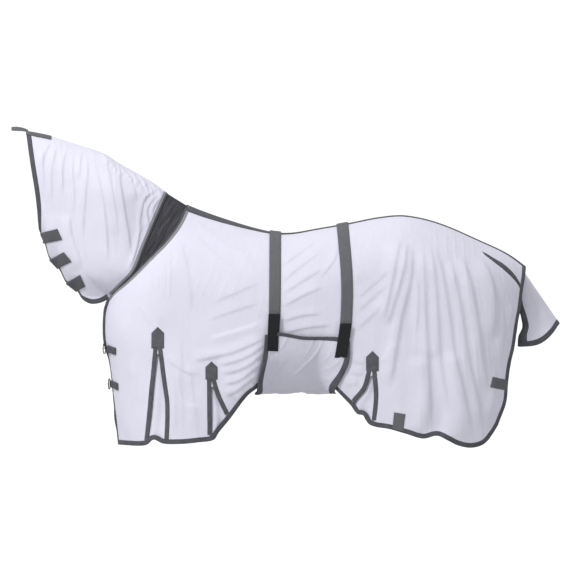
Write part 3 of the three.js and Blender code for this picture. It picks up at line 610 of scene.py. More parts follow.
def tape(piece, on, places, profile, side, swell=1.0, seed=1):
    """A tape laid along a line of the side view. The profile is a closed loop of (across, height)."""
    swell = np.broadcast_to(swell, len(places))[:, None]
    across = [u for u, _ in profile]
    heights = np.array([h for _, h in profile])
    grid = offset_places(on, places, across)
    run = lengths(on.point(places), 0)
    r = np.random.default_rng(seed)
    phase = r.uniform(0, 6, 3)
    ripple = sum(np.sin(run / s + p) for s, p in zip((9, 17, 41), phase)) * TAPE_WAVE / 3
    height = heights[None, :] * swell + ripple[:, None]
    points = on.laid(grid, height, side)
    uv = np.stack(np.broadcast_arrays(run[:, None], np.array(across)[None, :]), axis=-1) / 1000
    return piece.grid(points, uv, closed=True, flip=side > 0, caps=True)


TAPE_WIDTH = 20
EDGE = [  # section of a tape folded over a cloth's edge: across it and over the cloth
    (-0.9, 1.2), (-0.4, 2.2), (1.2, 2.9), (6.0, 3.1), (14.0, 3.0), (18.4, 2.8), (19.7, 2.3), (20, 1.5),
    (20, 0.1), (19.4, -0.7), (10.0, -1.0), (1.2, -1.0), (-0.4, -0.4), (-0.9, 0.4),
]

# -------- materials


class Nodes:
    """A short way to write a material's nodes."""

    def __init__(self, name, color, roughness, sheen=0.0, metallic=0.0):
        self.material = bpy.data.materials.new(name)
        self.material.use_nodes = True
        self.tree = self.material.node_tree
        self.shader = self.tree.nodes["Principled BSDF"]
        self.shader.inputs["Base Color"].default_value = (*color, 1)
        self.shader.inputs["Roughness"].default_value = roughness
        self.shader.inputs["Metallic"].default_value = metallic
        self.shader.inputs["Sheen Weight"].default_value = sheen
        self.shader.inputs["Sheen Roughness"].default_value = 0.6
        self.shader.inputs["Specular IOR Level"].default_value = 0.5 if metallic else 0.15
        self.material.diffuse_color = (*color, 1)
        uv = self.tree.nodes.new("ShaderNodeUVMap")
        uv.uv_map = "metres"
        self.uv = uv.outputs["UV"]
        split = self.tree.nodes.new("ShaderNodeSeparateXYZ")
        self.tree.links.new(self.uv, split.inputs[0])
        self.u, self.v = split.outputs["X"], split.outputs["Y"]

    def math(self, operation, *values):
        node = self.tree.nodes.new("ShaderNodeMath")
        node.operation = operation
        for socket, value in zip(node.inputs, values):
            if isinstance(value, (int, float)):
                socket.default_value = value
            else:
                self.tree.links.new(value, socket)
        return node.outputs[0]

    def add(self, a, b):
        return self.math("ADD", a, b)

    def times(self, a, b):
        return self.math("MULTIPLY", a, b)

    def wave(self, value, period):
        """0 to 1, with that period in metres."""
        turned = self.math("SINE", self.times(value, 2 * math.pi / period))
        return self.math("MULTIPLY_ADD", turned, 0.5, 0.5)

    def noise(self, scale, detail=3.0, vector=None):
        node = self.tree.nodes.new("ShaderNodeTexNoise")
        node.inputs["Scale"].default_value = scale
        node.inputs["Detail"].default_value = detail
        if vector is None:
            place = self.tree.nodes.new("ShaderNodeTexCoord")
            vector = place.outputs["Object"]
        self.tree.links.new(vector, node.inputs["Vector"])
        return node.outputs[0]

    def stretched(self, *scale, uv=False):
        """Places on the object or on its sheet, scaled along each axis."""
        place = self.tree.nodes.new("ShaderNodeTexCoord")
        node = self.tree.nodes.new("ShaderNodeVectorMath")
        node.operation = "MULTIPLY"
        node.inputs[1].default_value = scale
        self.tree.links.new(self.uv if uv else place.outputs["Object"], node.inputs[0])
        return node.outputs[0]

    def near(self, value, centre, half):
        """1 within half of the centre, 0 outside."""
        return self.math("LESS_THAN", self.math("ABSOLUTE", self.math("SUBTRACT", value, centre)), half)

    def color(self, low, high, factor):
        """A mix of two colours, or of two sockets that give them."""
        node = self.tree.nodes.new("ShaderNodeMix")
        node.data_type = "RGBA"
        for socket, value in (("A", low), ("B", high)):
            if isinstance(value, tuple):
                node.inputs[socket].default_value = (*value, 1)
            else:
                self.tree.links.new(value, node.inputs[socket])
        self.tree.links.new(factor, node.inputs["Factor"])
        return node.outputs["Result"]

    def base(self, color):
        self.tree.links.new(color, self.shader.inputs["Base Color"])

    def bump(self, height, distance, strength=1.0):
        node = self.tree.nodes.new("ShaderNodeBump")
        node.inputs["Distance"].default_value = distance
        node.inputs["Strength"].default_value = strength
        self.tree.links.new(height, node.inputs["Height"])
        self.tree.links.new(node.outputs["Normal"], self.shader.inputs["Normal"])


def rgb(*levels):
    """Linear colour of an sRGB one given as 0 to 255."""
    return tuple((v / 255 / 12.92) if v <= 10 else ((v / 255 + 0.055) / 1.055) ** 2.4 for v in levels)


def cloth_material(name, level):
    def shade(*color):
        return tuple(c * level for c in color)

    m = Nodes(name, shade(0.75, 0.745, 0.86), 0.85, sheen=0.03)
    holes = m.times(m.wave(m.u, 0.0021), m.wave(m.v, 0.0021))
    crease = m.noise(9, 4)
    tone = m.color(shade(0.72, 0.715, 0.83), shade(0.78, 0.775, 0.89), m.noise(3.2, 2))
    m.base(m.color(tone, shade(0.59, 0.585, 0.70), m.times(holes, 0.3)))
    hung = m.noise(26, 3, m.stretched(1, 1, 0.22))
    height = m.add(m.times(holes, -0.25), m.add(m.times(crease, 1.6), m.times(hung, 2.2)))
    m.bump(height, 0.0014, 0.7)
    return m.material


def tape_material(name, dark, light, width, rows):
    """Woven tape. rows are the stitch lines, as shares of its width."""
    m = Nodes(name, dark, 0.9, sheen=0.03)
    ribs = m.wave(m.u, 0.0016)
    tone = m.color(dark, light, m.times(m.noise(40, 2), 0.9))
    tone = m.color(tone, light, m.times(ribs, 0.35))
    height = m.times(ribs, 0.4)
    for row in rows:
        dashes = m.math("LESS_THAN", m.math("FRACT", m.times(m.u, 250)), 0.62)
        stitch = m.times(m.near(m.v, row * width, 0.0005), dashes)
        tone = m.color(tone, light, m.times(stitch, 0.9))
        groove = m.near(m.v, row * width, 0.0011)
        height = m.add(height, m.add(m.times(stitch, 0.8), m.times(groove, -0.8)))
    m.base(tone)
    m.bump(height, 0.0006, 0.8)
    return m.material


def two_tone_material():
    """Ribbed stretch binding, dark on its outer half and lighter inside."""
    m = Nodes("ribbed_binding", rgb(90, 91, 96), 0.9, sheen=0.03)
    ribs = m.wave(m.add(m.u, m.v), 0.0042)
    light = m.color(rgb(118, 119, 124), rgb(158, 159, 164), ribs)
    dark = m.color(rgb(66, 67, 71), rgb(92, 93, 98), ribs)
    m.base(m.color(dark, light, m.math("GREATER_THAN", m.v, 0.0085)))
    m.bump(ribs, 0.0007, 0.8)
    return m.material


def webbing_material():
    m = Nodes("webbing", rgb(92, 94, 98), 0.85, sheen=0.03)
    zigzag = m.math("ABSOLUTE", m.math("SUBTRACT", m.math("FRACT", m.times(m.v, 100)), 0.5))
    twill = m.wave(m.add(m.u, zigzag), 0.0032)
    ribs = m.wave(m.v, 0.0031)
    tone = m.color(rgb(84, 86, 90), rgb(112, 114, 118), m.times(twill, 0.6))
    tone = m.color(tone, rgb(122, 124, 128), m.times(m.noise(60, 2), 0.35))
    m.base(tone)
    m.bump(m.add(m.times(twill, 0.5), m.times(ribs, 0.6)), 0.0005, 0.7)
    return m.material


def fuzzy_material(name, dark, light):
    m = Nodes(name, dark, 1.0, sheen=0.05)
    fuzz = m.noise(900, 3)
    m.base(m.color(dark, light, fuzz))
    m.bump(fuzz, 0.0012, 0.9)
    return m.material


def stretch_material():
    m = Nodes("stretch_mesh", rgb(40, 40, 44), 0.9, sheen=0.02)
    holes = m.times(m.wave(m.u, 0.0034), m.wave(m.v, 0.0034))
    streaks = m.math("POWER", m.noise(1.0, 4, m.stretched(95, 9, 1, uv=True)), 3.0)
    tone = m.color(rgb(50, 50, 55), rgb(120, 120, 128), m.times(streaks, 1.2))
    m.base(m.color(tone, rgb(20, 20, 22), m.times(holes, 0.8)))
    m.bump(m.add(holes, m.times(streaks, 3.0)), 0.0012, 0.8)
    return m.material


def steel_material():
    m = Nodes("buckle_steel", (0.045, 0.045, 0.05), 0.42, metallic=1.0)
    m.bump(m.noise(300, 3), 0.0001, 0.3)
    return m.material


CLOTH = cloth_material("fly_mesh", 0.93)
# A darker copy of the cloth, at 0.87 of its colours instead of 0.93: painted shade for the belly flap, which
# hangs in shade under the belly.
FLAP_CLOTH_PAINTED_SHADE = cloth_material("flap_mesh_painted_shade", 0.87)
BINDING = tape_material("edge_binding", rgb(58, 59, 64), rgb(100, 101, 107), 0.020, [0.86])
SLIT_TAPE = tape_material("slit_tape", rgb(56, 57, 62), rgb(104, 105, 111), 0.020, [-0.36, 0.36])
PATCH = tape_material("patch", rgb(60, 61, 66), rgb(108, 109, 115), 0.0055, [0.4, 1.0])
WEBBING = webbing_material()
TWO_TONE = two_tone_material()
HOOK = fuzzy_material("hook_and_loop", rgb(22, 23, 25), rgb(46, 47, 50))
TAB = fuzzy_material("throat_tab_pile", rgb(66, 68, 72), rgb(104, 106, 110))
STRETCH = stretch_material()
STEEL = steel_material()

SIDES = (("near", -1), ("far", 1))
SLIT_SECTION = [
    (-10, 1.2), (-9, 2.2), (-6, 2.7), (0, 3.0), (6, 2.7), (9, 2.2), (10, 1.2), (9, -0.6), (0, -1.0),
    (-9, -0.6),
]
CLOTH_THICKNESS = 1.0
CLOTH_LIFT = 0.8
INSERT_LAP = 16

# -------- side panels and gussets

GUSSETS = [
    dict(name="front_gusset", x=-568, tip=-404, shoulder=-430, foot=-496, half=27, crotch=-534,
         left=smooth([(-905, -619), (-492, -577)]),
         right=smooth([(-905, -530), (-740, -526), (-652, -537), (-492, -559)]),
         hem=(-908, -902), ends=(-892, -886), flat=(0.13, 0.40), area=0.041),
    dict(name="middle_gusset", x=-337, tip=-552, shoulder=-576, foot=-630, half=26, crotch=-676,
         left=smooth([(-890, -345), (-626, -347)]),
         right=smooth([(-812, -258), (-785, -267), (-697, -308), (-626, -330)]),
         hem=(-888, -806), ends=(-868, -778), flat=(0.13, 0.25), area=0.019),
    dict(name="rear_gusset", x=354, tip=-507, shoulder=-533, foot=-593, half=27, crotch=-628,
         left=smooth([(-752, 264), (-722, 274), (-666, 318), (-593, 340)]),
         right=smooth([(-824, 359), (-704, 370), (-593, 362)]),
         hem=(-750, -822), ends=(-724, -804), flat=(0.14, 0.22), area=0.020),
]


def in_slit(xz):
    """Which places lie between the edges of a slit."""
    x, z = xz[..., 0], xz[..., 1]
    inside = np.zeros(x.shape, bool)
    for g in GUSSETS:
        inside |= (z < g["crotch"] + 14) & (x > g["left"](z)) & (x < g["right"](z))
    return inside


panel_places = coons(spine_line, hem_line, front_line, rear_line, steps(280) ** 1.5, steps(560) ** 1.2)
cells = (panel_places[:-1, :-1] + panel_places[1:, 1:]) / 2
panel_keep = ~in_slit(cells)
for label, side in SIDES:
    piece = Piece(f"cloth_side_{label}", CLOTH, "rug", "sheet_mesh", [f"side_panel_{label}"])
    piece.grid(trunk.laid(panel_places, CLOTH_LIFT, side), keep=panel_keep, flip=side > 0)
    panel = piece.make(CLOTH_THICKNESS)

for label, side in SIDES:
    for g in GUSSETS:
        rows, columns = steps(40), steps(24)
        u = columns[None, :]
        foot = mix(g["hem"][0], g["hem"][1], u)
        down = rows[:, None]
        end = hem_height(mix(g["left"](foot) - INSERT_LAP, g["right"](foot) + INSERT_LAP, u)) + 3
        z = mix(g["crotch"] + 20, end, down)
        x = mix(g["left"](z) - INSERT_LAP, g["right"](z) + INSERT_LAP, u)
        places = np.stack([x, z], axis=-1)
        sag = -9 + (5 * np.sin(math.pi * u) + 5 * np.sin(4.2 * math.pi * u + 3 * down + 1)) * down
        name = g["name"]
        piece = Piece(f"cloth_{name}_{label}", CLOTH, "rug", "sheet_mesh", [f"{name}_insert_{label}"])
        insert = piece.grid(trunk.laid(places, sag, side), flip=side > 0).make(CLOTH_THICKNESS)

        piece = Piece(f"{name}_tape_{label}", SLIT_TAPE, "rug", "binding", [f"{name}_binding_{label}"])
        for k, edge in enumerate((g["left"], g["right"])):
            zs = mix(g["foot"] + 24, g["ends"][k], steps(60))
            path = np.stack([edge(zs), zs], axis=-1)[:: 1 if k else -1]
            tape(piece, trunk, path, SLIT_SECTION, side, swell=1 + 0.15 * k, seed=k + 3)
        piece.make()

# -------- bindings round the body


def front_swell(path):
    """The front edge's binding stands up in a roll where the cloth is doubled."""
    x, z = path.T
    front = x < -700
    roll = smoothstep((z + 560) / 90) + 0.6 * smoothstep(1 - np.abs(z + 800) / 60)
    return 1 + 2.6 * roll * front


hem_path = np.vstack([chest_line(steps(110))[:-1], hem_line(steps(420))[:-1], rear_line(steps(120, 1, 0))])
for label, side in SIDES:
    piece = Piece(f"hem_tape_{label}", BINDING, "rug", "binding", [f"hem_binding_{label}"])
    tape(piece, trunk, hem_path, EDGE, side, swell=front_swell(hem_path), seed=8).make()
    piece = Piece(f"neckline_tape_{label}", TWO_TONE, "rug", "binding", [f"neckline_binding_{label}"])
    tape(piece, trunk, neckline(steps(110)), EDGE, side, seed=9).make()


def over_ridge(width, top, x, drop, height, rows=13):
    """Points over a ridge at each x, down to a drop on both sides, at a height over the cloth."""
    share = np.linspace(-1, 1, rows)
    z = top(x)[:, None] - np.maximum(share**2 * drop[:, None], LEAST_DROP)
    y = width(np.broadcast_to(x[:, None], z.shape), z) * np.where(share < 0, -1, 1)
    y[:, rows // 2] = 0
    z[:, rows // 2] = top(x)
    grid = np.stack([np.broadcast_to(x[:, None], z.shape), y, z], axis=-1)
    normal = unit(np.cross(np.gradient(grid, axis=0), np.gradient(grid, axis=1)))
    return grid + normal * height


x = steps(260, WITHERS[0], 1008)
drop = np.interp(x, [-447, -300, -150, 0, 100, 900, 1019], [27, 20, 11, 6, 5, 5, 9])
piece = Piece("spine_tape", BINDING, "rug", "binding", ["spine_binding"])
upper = over_ridge(trunk_width, spine_height, x, drop, 3.0)
lower = over_ridge(trunk_width, spine_height, x, drop + 0.2, 0.6)
piece.grid(band(upper, lower), closed=True, caps=True).make()

dart_line = line([(828, -82), (860, -105), (914, -143), (957, -181), (985, -218), (997, -243)])
DART_SECTION = [(-1, 1.2), (-0.6, 2.6), (0, 3.0), (0.6, 2.6), (1, 1.2), (0.5, 0.2), (-0.5, 0.2)]
for label, side in SIDES:
    piece = Piece(f"croup_dart_tape_{label}", BINDING, "rug", "binding", [f"croup_dart_{label}"])
    path = dart_line(steps(60))
    along = unit(np.gradient(path, axis=0))
    half = 5 + 5.5 * np.sin(math.pi * steps(60, 0.0, 0.95)) ** 2 - 4 * smoothstep(1 - 12 * steps(60))
    square = np.stack([-along[:, 1], along[:, 0]], axis=-1) * half[:, None]
    places = np.stack([path + u * square for u, _ in DART_SECTION], axis=1)
    heights = np.array([h for _, h in DART_SECTION])[None, :]
    piece.grid(trunk.laid(places, heights, side), closed=True, flip=side > 0, caps=True).make()

# -------- surcingles, tabs and patches


def over_top(centre, near, far, width, low, thickness):
    """A band from the near end over the back to the far end."""
    sections = []
    for end, side in ((far, 1), (near, -1)):
        t = steps(70)
        reach = spine_height(centre(end)) - end
        level = spine_height(centre(end)) - reach * t**1.8
        rows = []
        for across in np.linspace(-0.5, 0.5, 9):
            x = centre(level) + across * width
            top = spine_height(x)
            z = np.minimum(top - LEAST_DROP, mix(top, end, t**1.8))
            rows.append(np.stack([x, z], axis=-1))
        places = np.stack(rows, axis=1)
        edge = 1 - np.abs(np.linspace(-1, 1, 9)) ** 8 * 0.7
        arch = 3.0 * (1 - smoothstep(t * 5))[:, None]  # it bridges the backbone
        upper = trunk.laid(places, low + arch + thickness * edge[None, :], side)
        lower = trunk.laid(places, np.broadcast_to(low + arch, places.shape[:2]), side)
        sections.append(band(upper, lower))
    return np.concatenate([sections[0][:0:-1], sections[1]], axis=0)


def ring_uv(points, width):
    """Metres along and across a closed band whose first half of columns is its outer face."""
    rows, columns = points.shape[:2]
    half = columns // 2
    across = np.concatenate([np.linspace(0, width, half), np.linspace(width, 0, half)])
    run = lengths(points[:, :1], 0)
    return np.stack(np.broadcast_arrays(run, across[None, :]), axis=-1) / 1000


FRONT_CENTRE = smooth([(-502, -76), (-347, -66), (4, -64)])
REAR_CENTRE = smooth([(-533, 222), (-388, 240), (-204, 244), (47, 226)])
for name, centre, near_end, far_end in (
    ("front_surcingle", FRONT_CENTRE, -425, -540), ("rear_surcingle", REAR_CENTRE, -450, -560)
):
    points = over_top(centre, near_end, far_end, 50, 4.2, 1.8)
    piece = Piece(f"{name}_band", WEBBING, "rug", "webbing", [name])
    piece.grid(points, ring_uv(points, 50), closed=True, caps=True).make()


def plate(piece, outline, low, thickness, side, rows=14, columns=24, loop=0.0):
    """A patch laid on the cloth, its corners in order from the top left. loop is the height of its folds."""
    a, b, c, d = (np.array(p, float) for p in outline)
    v, u = steps(rows)[:, None, None], steps(columns)[None, :, None]
    places = mix(mix(a, b, u), mix(d, c, u), v)
    u, v = u[..., 0], v[..., 0]
    rise = np.minimum(1 - np.abs(2 * u - 1) ** 10, 1 - np.abs(2 * v - 1) ** 10)
    fold = loop * (np.exp(-(((u - 0.18) / 0.16) ** 2)) + 0.6 * np.exp(-(((u - 0.7) / 0.12) ** 2)))
    upper = trunk.laid(places, low + fold + thickness * (0.35 + 0.65 * rise), side)
    lower = trunk.laid(places, np.full(places.shape[:2], low), side)
    uv = sheet_uv(upper)
    piece.grid(upper, uv, flip=side > 0)
    piece.grid(lower, uv, flip=side < 0)
    for edge in (np.s_[0, :], np.s_[-1, :], np.s_[:, 0], np.s_[:, -1]):
        wall = np.stack([upper[edge], lower[edge]], axis=0)
        piece.grid(wall, np.stack([uv[edge], uv[edge]], axis=0))
    return piece


def pentagon(piece, g, low, side):
    """A stitched patch with a point at its top, over the head of a slit."""
    t = steps(36)
    z = mix(g["tip"], g["foot"], t)
    slope = np.clip((g["tip"] - z) / (g["tip"] - g["shoulder"]), 0.02, 1)
    u = np.linspace(-1, 1, 17)
    x = g["x"] + slope[:, None] * g["half"] * u[None, :]
    places = np.stack([x, np.broadcast_to(z[:, None], x.shape)], axis=-1)
    edge = np.minimum.reduce([
        (1 - np.abs(u))[None, :] * slope[:, None] * g["half"],
        np.broadcast_to((z - g["foot"])[:, None], x.shape),
        np.broadcast_to((g["tip"] - z)[:, None], x.shape),
    ])
    ridge = 0.9 * np.exp(-((edge - 5.5) / 1.6) ** 2)
    rise = low + 1.7 * smoothstep(edge / 1.2) - ridge
    upper = trunk.laid(places, rise, side)
    uv = np.stack([sheet_uv(upper).sum(axis=-1), edge / 1000], axis=-1)
    piece.grid(upper, uv, flip=side > 0)
    return piece.grid(trunk.laid(places, np.full(x.shape, low), side), uv, flip=side < 0)


for label, side in SIDES:
    for g in GUSSETS:
        piece = Piece(f"{g['name']}_tab_{label}", PATCH, "rug", "webbing", [f"{g['name']}_patch_{label}"])
        pentagon(piece, g, 3.2, side).make()
    piece = Piece(f"rear_loop_tab_{label}", WEBBING, "rug", "webbing", [f"rear_tab_{label}"])
    plate(piece, [(869, -618), (936, -633), (932, -678), (858, -663)], 2.6, 2.2, side).make()
    piece = Piece(f"hem_loop_tab_{label}", WEBBING, "rug", "webbing", [f"hem_tab_{label}"])
    plate(piece, [(447, -770), (495, -778), (485, -851), (440, -841)], 2.6, 2.2, side).make()

# -------- chest closure

CHEST_STRAPS = [
    dict(name="upper", front=-783, back=-748, z=-498),
    dict(name="lower", front=-764, back=-738, z=-651),
]
for strap in CHEST_STRAPS:
    name, front, back, level = strap["name"], strap["front"], strap["back"], strap["z"]
    piece = Piece(f"chest_strap_{name}", BINDING, "rug", "webbing", [f"chest_chape_{name}"])
    corners = [(front, level + 15), (back, level + 3), (back, level - 27), (front, level - 15)]
    plate(piece, corners, 2.6, 3.4, -1, loop=6.5).make()
    half = float(trunk_half_width(-790))
    y = steps(40, 112, -58)
    across = np.linspace(15, -15, 7)
    levels = level + across
    x = chest_x(levels)[None, :] + CHEST_LENGTH * (1 - np.sqrt(1 - (y[:, None] / half) ** 2))
    grid = np.stack(np.broadcast_arrays(x, y[:, None], levels[None, :]), -1)
    normal = unit(np.cross(np.gradient(grid, axis=1), np.gradient(grid, axis=0)))
    if normal[20, 3, 0] > 0:
        normal = -normal
    piece = Piece(f"chest_billet_strap_{name}", WEBBING, "rug", "webbing", [f"chest_billet_{name}"])
    ring = band(grid + normal * 8.6, grid + normal * 7.0)
    piece.grid(ring, ring_uv(ring, 30), closed=True, caps=True).make()
for node in ("chest_buckle_upper", "chest_buckle_lower", "buckle_tongue_upper", "buckle_tongue_lower"):
    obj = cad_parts[node]
    obj.data.materials.clear()
    obj.data.materials.append(STEEL)

# -------- neck cover

t = steps(230)
t = t - 0.6 * np.sin(2 * math.pi * t) / (2 * math.pi)  # closer rows at the crest and the throat
neck_places = coons(crest_line, neck_throat_line, neck_front_line, neck_rear_line, t, steps(250))
for label, side in SIDES:
    piece = Piece(f"cloth_neck_{label}", CLOTH, "neck_cover", "sheet_mesh", [f"neck_panel_{label}"])
    panel = piece.grid(neck.laid(neck_places, CLOTH_LIFT, side), flip=side > 0).make(CLOTH_THICKNESS)

    piece = Piece(f"neck_edge_tape_{label}", BINDING, "neck_cover", "binding", [f"neck_edge_binding_{label}"])
    path = np.vstack([neck_front_line(steps(90, 0.01, 1))[:-1], neck_throat_line(steps(120, 0, 0.97))])
    tape(piece, neck, path, EDGE, side, seed=12).make()

rear_tape = Piece("neck_rear_tape", TWO_TONE, "neck_cover", "binding", ["neck_rear_binding"])
for label, side in SIDES:
    tape(rear_tape, neck, neck_rear_line(steps(120, 0.985, 0)), EDGE, side, seed=14)
rear_tape.make()

# Crest seam
piece = Piece("crest_seam", CLOTH, "neck_cover", "sheet_mesh")
x = steps(400, -1141, -529)
gathered = smoothstep((x + 860) / 60) * (1 - np.abs(np.sin(x / 7.5 + np.sin(x / 31)))) * 4.5
seam = np.stack([
    np.stack([x, np.full_like(x, y), crest_height(x) + h - gathered], axis=-1)
    for y, h in ((2.6, -1.0), (1.4, 1.6), (0, 2.4), (-1.4, 1.6), (-2.6, -1.0), (0, -2))
], axis=1)
piece.grid(seam, closed=True, caps=True).make()

# Stretch mesh between the neck cover and the rug
t, u = steps(90), steps(44)
a = neck.laid(neck_rear_line(t * 0.72), np.full(91, 0.0), -1)
b = trunk.laid(neckline(t * 0.70), np.full(91, 0.0), -1)
fan = a[:, None] + (b - a)[:, None] * u[None, :, None]
across = u[None, :] + 0.10 * np.sin(7 * t)[:, None]
ridges = (1 - np.abs(np.sin(8 * across + 1))) ** 2
ridges = ridges + 0.6 * (1 - np.abs(np.sin(17 * across + 2 * t[:, None]))) ** 2
gathers = 6.5 * (ridges - 0.5) * np.sin(math.pi * u)[None, :] * np.sin(math.pi * t)[:, None] ** 0.5
normal = unit(np.cross(np.gradient(fan, axis=0), np.gradient(fan, axis=1)))
fan = fan + normal * (gathers - 2.0)[..., None]
both = np.concatenate([(fan * (1, -1, 1))[::-1], fan[1:]], axis=0)
piece = Piece("stretch_mesh_gusset", STRETCH, None, "stretch_mesh", ["neck_stretch_mesh"])
gusset = piece.grid(both).make(CLOTH_THICKNESS)
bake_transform(gusset)

# Poll strap
sewn_x = steps(40, -1142, -1033)
drop = np.full(41, 15.0)
upper = over_ridge(neck_width, crest_height, sewn_x, drop, 5.2)
lower = over_ridge(neck_width, crest_height, sewn_x, drop, 3.2)
piece = Piece("poll_strap_base", WEBBING, "neck_cover", "webbing", ["poll_strap_sewn"])
piece.grid(band(upper, lower), closed=True, caps=True).make()
t = steps(40)
x = mix(-1205, -1133, t)
z = mix(452, 444, t) + 3 * np.sin(math.pi * t) - 2 * smoothstep(4 * t - 3)
turn = 0.62 + 0.12 * np.sin(5 * t)
cos, sin = np.cos(turn), np.sin(turn)
section = ((-14, 0.2), (-13, 0.9), (0, 1.1), (13, 0.9), (14, 0.2), (13, -0.6), (0, -0.8), (-13, -0.6))
free = np.stack([np.stack([x, y * cos - h * sin, z + y * sin + h * cos], -1) for y, h in section], axis=1)
piece = Piece("poll_strap_tip", WEBBING, "poll_strap", "webbing", ["poll_strap_end"])
piece.grid(free, closed=True, caps=True, flip=True).make()

THROAT_TABS = [
    ("upper", "throat_tab_1", [(-1080, 0), (-1003, 19), (-981, -28), (-1058, -43)]),
    ("middle", "throat_tab_2", [(-1036, -112), (-974, -81), (-940, -121), (-998, -151)]),
    ("lower", "throat_tab_3", [(-965, -212), (-904, -178), (-882, -228), (-918, -249)]),
]
for name, body, corners in THROAT_TABS:
    upper_edge, upper_in, lower_in, lower_edge = (np.array(c, float) for c in corners)
    t, u = steps(24), steps(14)
    across = u[None, :, None]
    places = mix(mix(lower_edge, upper_edge, across), mix(lower_in, upper_in, across), t[:, None, None])
    bulge = 0.8 * np.sin(5 * u)[None, :] * np.sin(3 * t)[:, None]
    rise = np.minimum(smoothstep((1 - t)[:, None] * 20), smoothstep(np.minimum(u, 1 - u)[None, :] * 12))
    outer = neck.laid(places, 5.0 + bulge + 2.0 * rise, -1)
    inner = neck.laid(places, 5.0 + bulge, -1)
    bridge = steps(10)[:-1, None, None]
    out = unit(np.array([-0.75, 0, -0.66])) * (2 * np.sin(math.pi * bridge))
    sheets = []
    for face in (outer, inner):
        middle = face[0][None] + (face[0] * (1, -1, 1) - face[0])[None] * (1 - bridge)
        sheets.append(np.concatenate([middle + out, face], axis=0))
    piece = Piece(f"throat_strap_{name}", TAB, body, "hook_and_loop", [f"throat_tab_{name}"])
    piece.grid(band(*sheets), closed=True, caps=True).make()

# -------- tail flap

TAIL = dict(dock=(1009, -162), ridge=(1162, -392), side_top=-216, side_end=-490)
tail_side_x = smooth([(0, 985), (0.35, 990), (0.55, 1003), (0.7, 1008), (0.84, 992), (1, 989)])


def tail_flap(a, b):
    turn = a * math.pi / 2
    share = np.cos(turn)
    ridge = [mix(TAIL["dock"][k], TAIL["ridge"][k], b) for k in (0, 1)]
    side = [tail_side_x(b), mix(TAIL["side_top"], TAIL["side_end"], b)]
    drop = mix(share, share**3, b)
    y = mix(56, 118, b) * np.sin(turn)
    return np.stack([mix(side[0], ridge[0], share), y, mix(side[1], ridge[1], drop)], axis=-1)


def raised(at, a, b, height):
    e = 1e-3
    normal = unit(np.cross(at(a, b + e) - at(a, b - e), at(a + e, b) - at(a - e, b)))
    return at(a, b) + normal * np.asarray(height)[..., None]


def tape_round(piece, lifted, edge, inner):
    """A tape folded round a free sheet's edge. lifted gives the sheet's points at a height over it."""
    (a0, b0), (a1, b1) = np.array(edge).T, np.array(inner).T
    across = np.array([u for u, _ in EDGE])
    shares = across / TAPE_WIDTH
    rows = [lifted(mix(a0, a1, u), mix(b0, b1, u), np.full(len(a0), h)) for u, (_, h) in zip(shares, EDGE)]
    points = np.stack(rows, axis=1)
    uv = np.stack(np.broadcast_arrays(lengths(points[:, :1], 0), across[None, :]), axis=-1) / 1000
    return piece.grid(points, uv, closed=True, caps=True)


def flutes(a, b):
    return 3.5 * np.sin(6 * a + 1) * b + 2 * np.sin(13 * a) * b


def fluted_tail(a, b):
    return raised(tail_flap, a, b, flutes(a, b))


b, a = np.meshgrid(steps(60), steps(90, -1, 1), indexing="ij")
piece = Piece("cloth_tail_flap", CLOTH, "tail_cover", "sheet_mesh", ["tail_flap"])
tail = piece.grid(raised(tail_flap, a, b, CLOTH_LIFT + flutes(a, b))).make(CLOTH_THICKNESS)
down, across = steps(60, 0.02, 1), steps(110, -1, 1)
edge = [*[(-1, s) for s in down[:-1]], *[(c, 1) for c in across], *[(1, s) for s in down[::-1][1:]]]
inner = [(float(np.clip(c, -0.87, 0.87)), min(s, 0.925)) for c, s in edge]
piece = Piece("tail_flap_tape", BINDING, "tail_cover", "binding", ["tail_flap_binding"])
tape_round(piece, lambda a, b, height: raised(fluted_tail, a, b, height), edge, inner).make()

# -------- belly flap

FLAP_TOP = smooth([(0, -436), (0.17, -425), (0.45, -441), (0.86, -446), (1, -467)])
FLAP_FRONT = smooth([(0, -107), (0.12, -118), (0.28, -147), (1, -150)])
FLAP_REAR = smooth([(0, 258), (0.1, 254), (0.28, 199), (1, 196)])
FLAP_FAR = -588
FLAP_LIFT = 12.4


def belly_section(a, b):
    """One point of the belly flap, b from its near edge (0) to its far edge (1)."""
    x = mix(FLAP_FRONT(b), FLAP_REAR(b), a)
    near = mix(FLAP_TOP(a), BELLY_Z, 1 - (1 - steps(40)) ** 2)
    far = mix(BELLY_Z, FLAP_FAR, steps(40) ** 2)
    z = np.concatenate([near, far])
    y = trunk_width(np.full(z.shape, x), z) * np.concatenate([-np.ones(41), np.ones(41)])
    points = np.stack([np.full(z.shape, x), y, z], axis=-1)
    reach = np.concatenate([[0], np.cumsum(np.linalg.norm(np.diff(points, axis=0), axis=1))])
    target = np.clip(b, 0, 1) * reach[-1]
    return [x, np.interp(target, reach, y), np.interp(target, reach, z)]


def belly_grid():
    """The flap as a function, read between the entries of a table so that each section is worked out once."""
    a, b = steps(40, -0.05, 1.05), steps(160)
    table = np.array([[belly_section(float(i), float(j)) for i in a] for j in b])

    def at(p, q):
        i = np.clip((np.asarray(p, float) + 0.05) / 1.1 * 40, 0, 39.999)
        j = np.clip(np.asarray(q, float) * 160, 0, 159.999)
        i0, j0 = i.astype(int), j.astype(int)
        fi, fj = (i - i0)[..., None], (j - j0)[..., None]
        upper = mix(table[j0, i0], table[j0, i0 + 1], fi)
        return mix(upper, mix(table[j0 + 1, i0], table[j0 + 1, i0 + 1], fi), fj)

    return at


belly_flap = belly_grid()


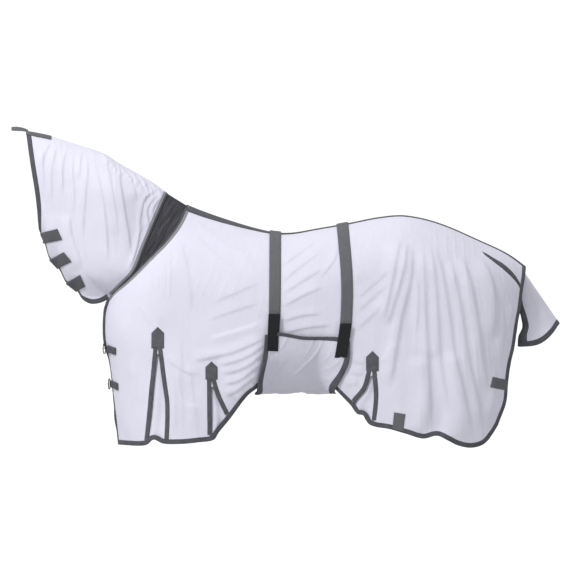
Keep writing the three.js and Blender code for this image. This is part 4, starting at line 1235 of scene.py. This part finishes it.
def raised_flap(a, b, height):
    e = 0.02
    normal = unit(np.cross(
        belly_flap(a, np.minimum(b + e, 1)) - belly_flap(a, np.maximum(b - e, 0)),
        belly_flap(np.minimum(a + e, 1), b) - belly_flap(np.maximum(a - e, 0), b),
    ))
    x, down = a * 360, b * 900
    sag = 2.5 * wander(x, down, 150, 31) + 3.0 * np.sin(5 * math.pi * a + 3 * b) * np.sin(math.pi * b) ** 2
    sag = sag + 4 * pleats(x + b * 260, down, 16, 33)
    return belly_flap(a, b) + normal * (height + sag)[..., None]


b, a = np.meshgrid(steps(200), steps(80), indexing="ij")
# The belly flap takes the darker copy of the cloth: its colour holds painted shade.
piece = Piece("cloth_belly_flap", FLAP_CLOTH_PAINTED_SHADE, "belly_cover", "sheet_mesh", ["belly_flap"])
flap = piece.grid(raised_flap(a, b, FLAP_LIFT + 0.6)).make(CLOTH_THICKNESS)

down, across = steps(150), steps(70, 1, 0)
edge = [*[(1, s) for s in down[:0:-1]], *[(c, 0) for c in across[:-1]], *[(0, s) for s in down]]
inner = [(float(np.clip(c, 0.055, 0.945)), max(s, 0.022)) for c, s in edge]
piece = Piece("belly_flap_tape", BINDING, "belly_cover", "binding", ["belly_flap_binding"])
tape_round(piece, lambda a, b, height: raised_flap(a, b, FLAP_LIFT + height), edge, inner).make()

for name, centre, top, bottom in (("front", FRONT_CENTRE, -347, -502), ("rear", REAR_CENTRE, -388, -533)):
    piece = Piece(f"belly_hook_{name}", HOOK, "belly_cover", "hook_and_loop", [f"belly_hook_tab_{name}"])
    corners = [(float(centre(top)) - 25, top), (float(centre(top)) + 25, top),
               (float(centre(bottom)) + 25, bottom), (float(centre(bottom)) - 25, bottom)]
    plate(piece, corners, 17.0, 2.4, -1, rows=30).make()

# -------- floor

FLOOR_RADIUS, FLOOR_Z = 4.5, -1.65
floor_mesh = bpy.data.meshes.new("floor")
turns = np.linspace(0, 2 * math.pi, 96, endpoint=False)
rim = [(FLOOR_RADIUS * math.cos(a), FLOOR_RADIUS * math.sin(a), FLOOR_Z) for a in turns]
floor_mesh.from_pydata(rim, [], [tuple(range(96))])
floor_material = bpy.data.materials.new("floor")
floor_material.use_nodes = True
floor_shader = floor_material.node_tree.nodes["Principled BSDF"]
floor_shader.inputs["Base Color"].default_value = (0.62, 0.62, 0.62, 1)
floor_shader.inputs["Roughness"].default_value = 1.0
floor_mesh.materials.append(floor_material)
floor = bpy.data.objects.new("floor", floor_mesh)
scene.collection.objects.link(floor)

bpy.context.view_layer.update()
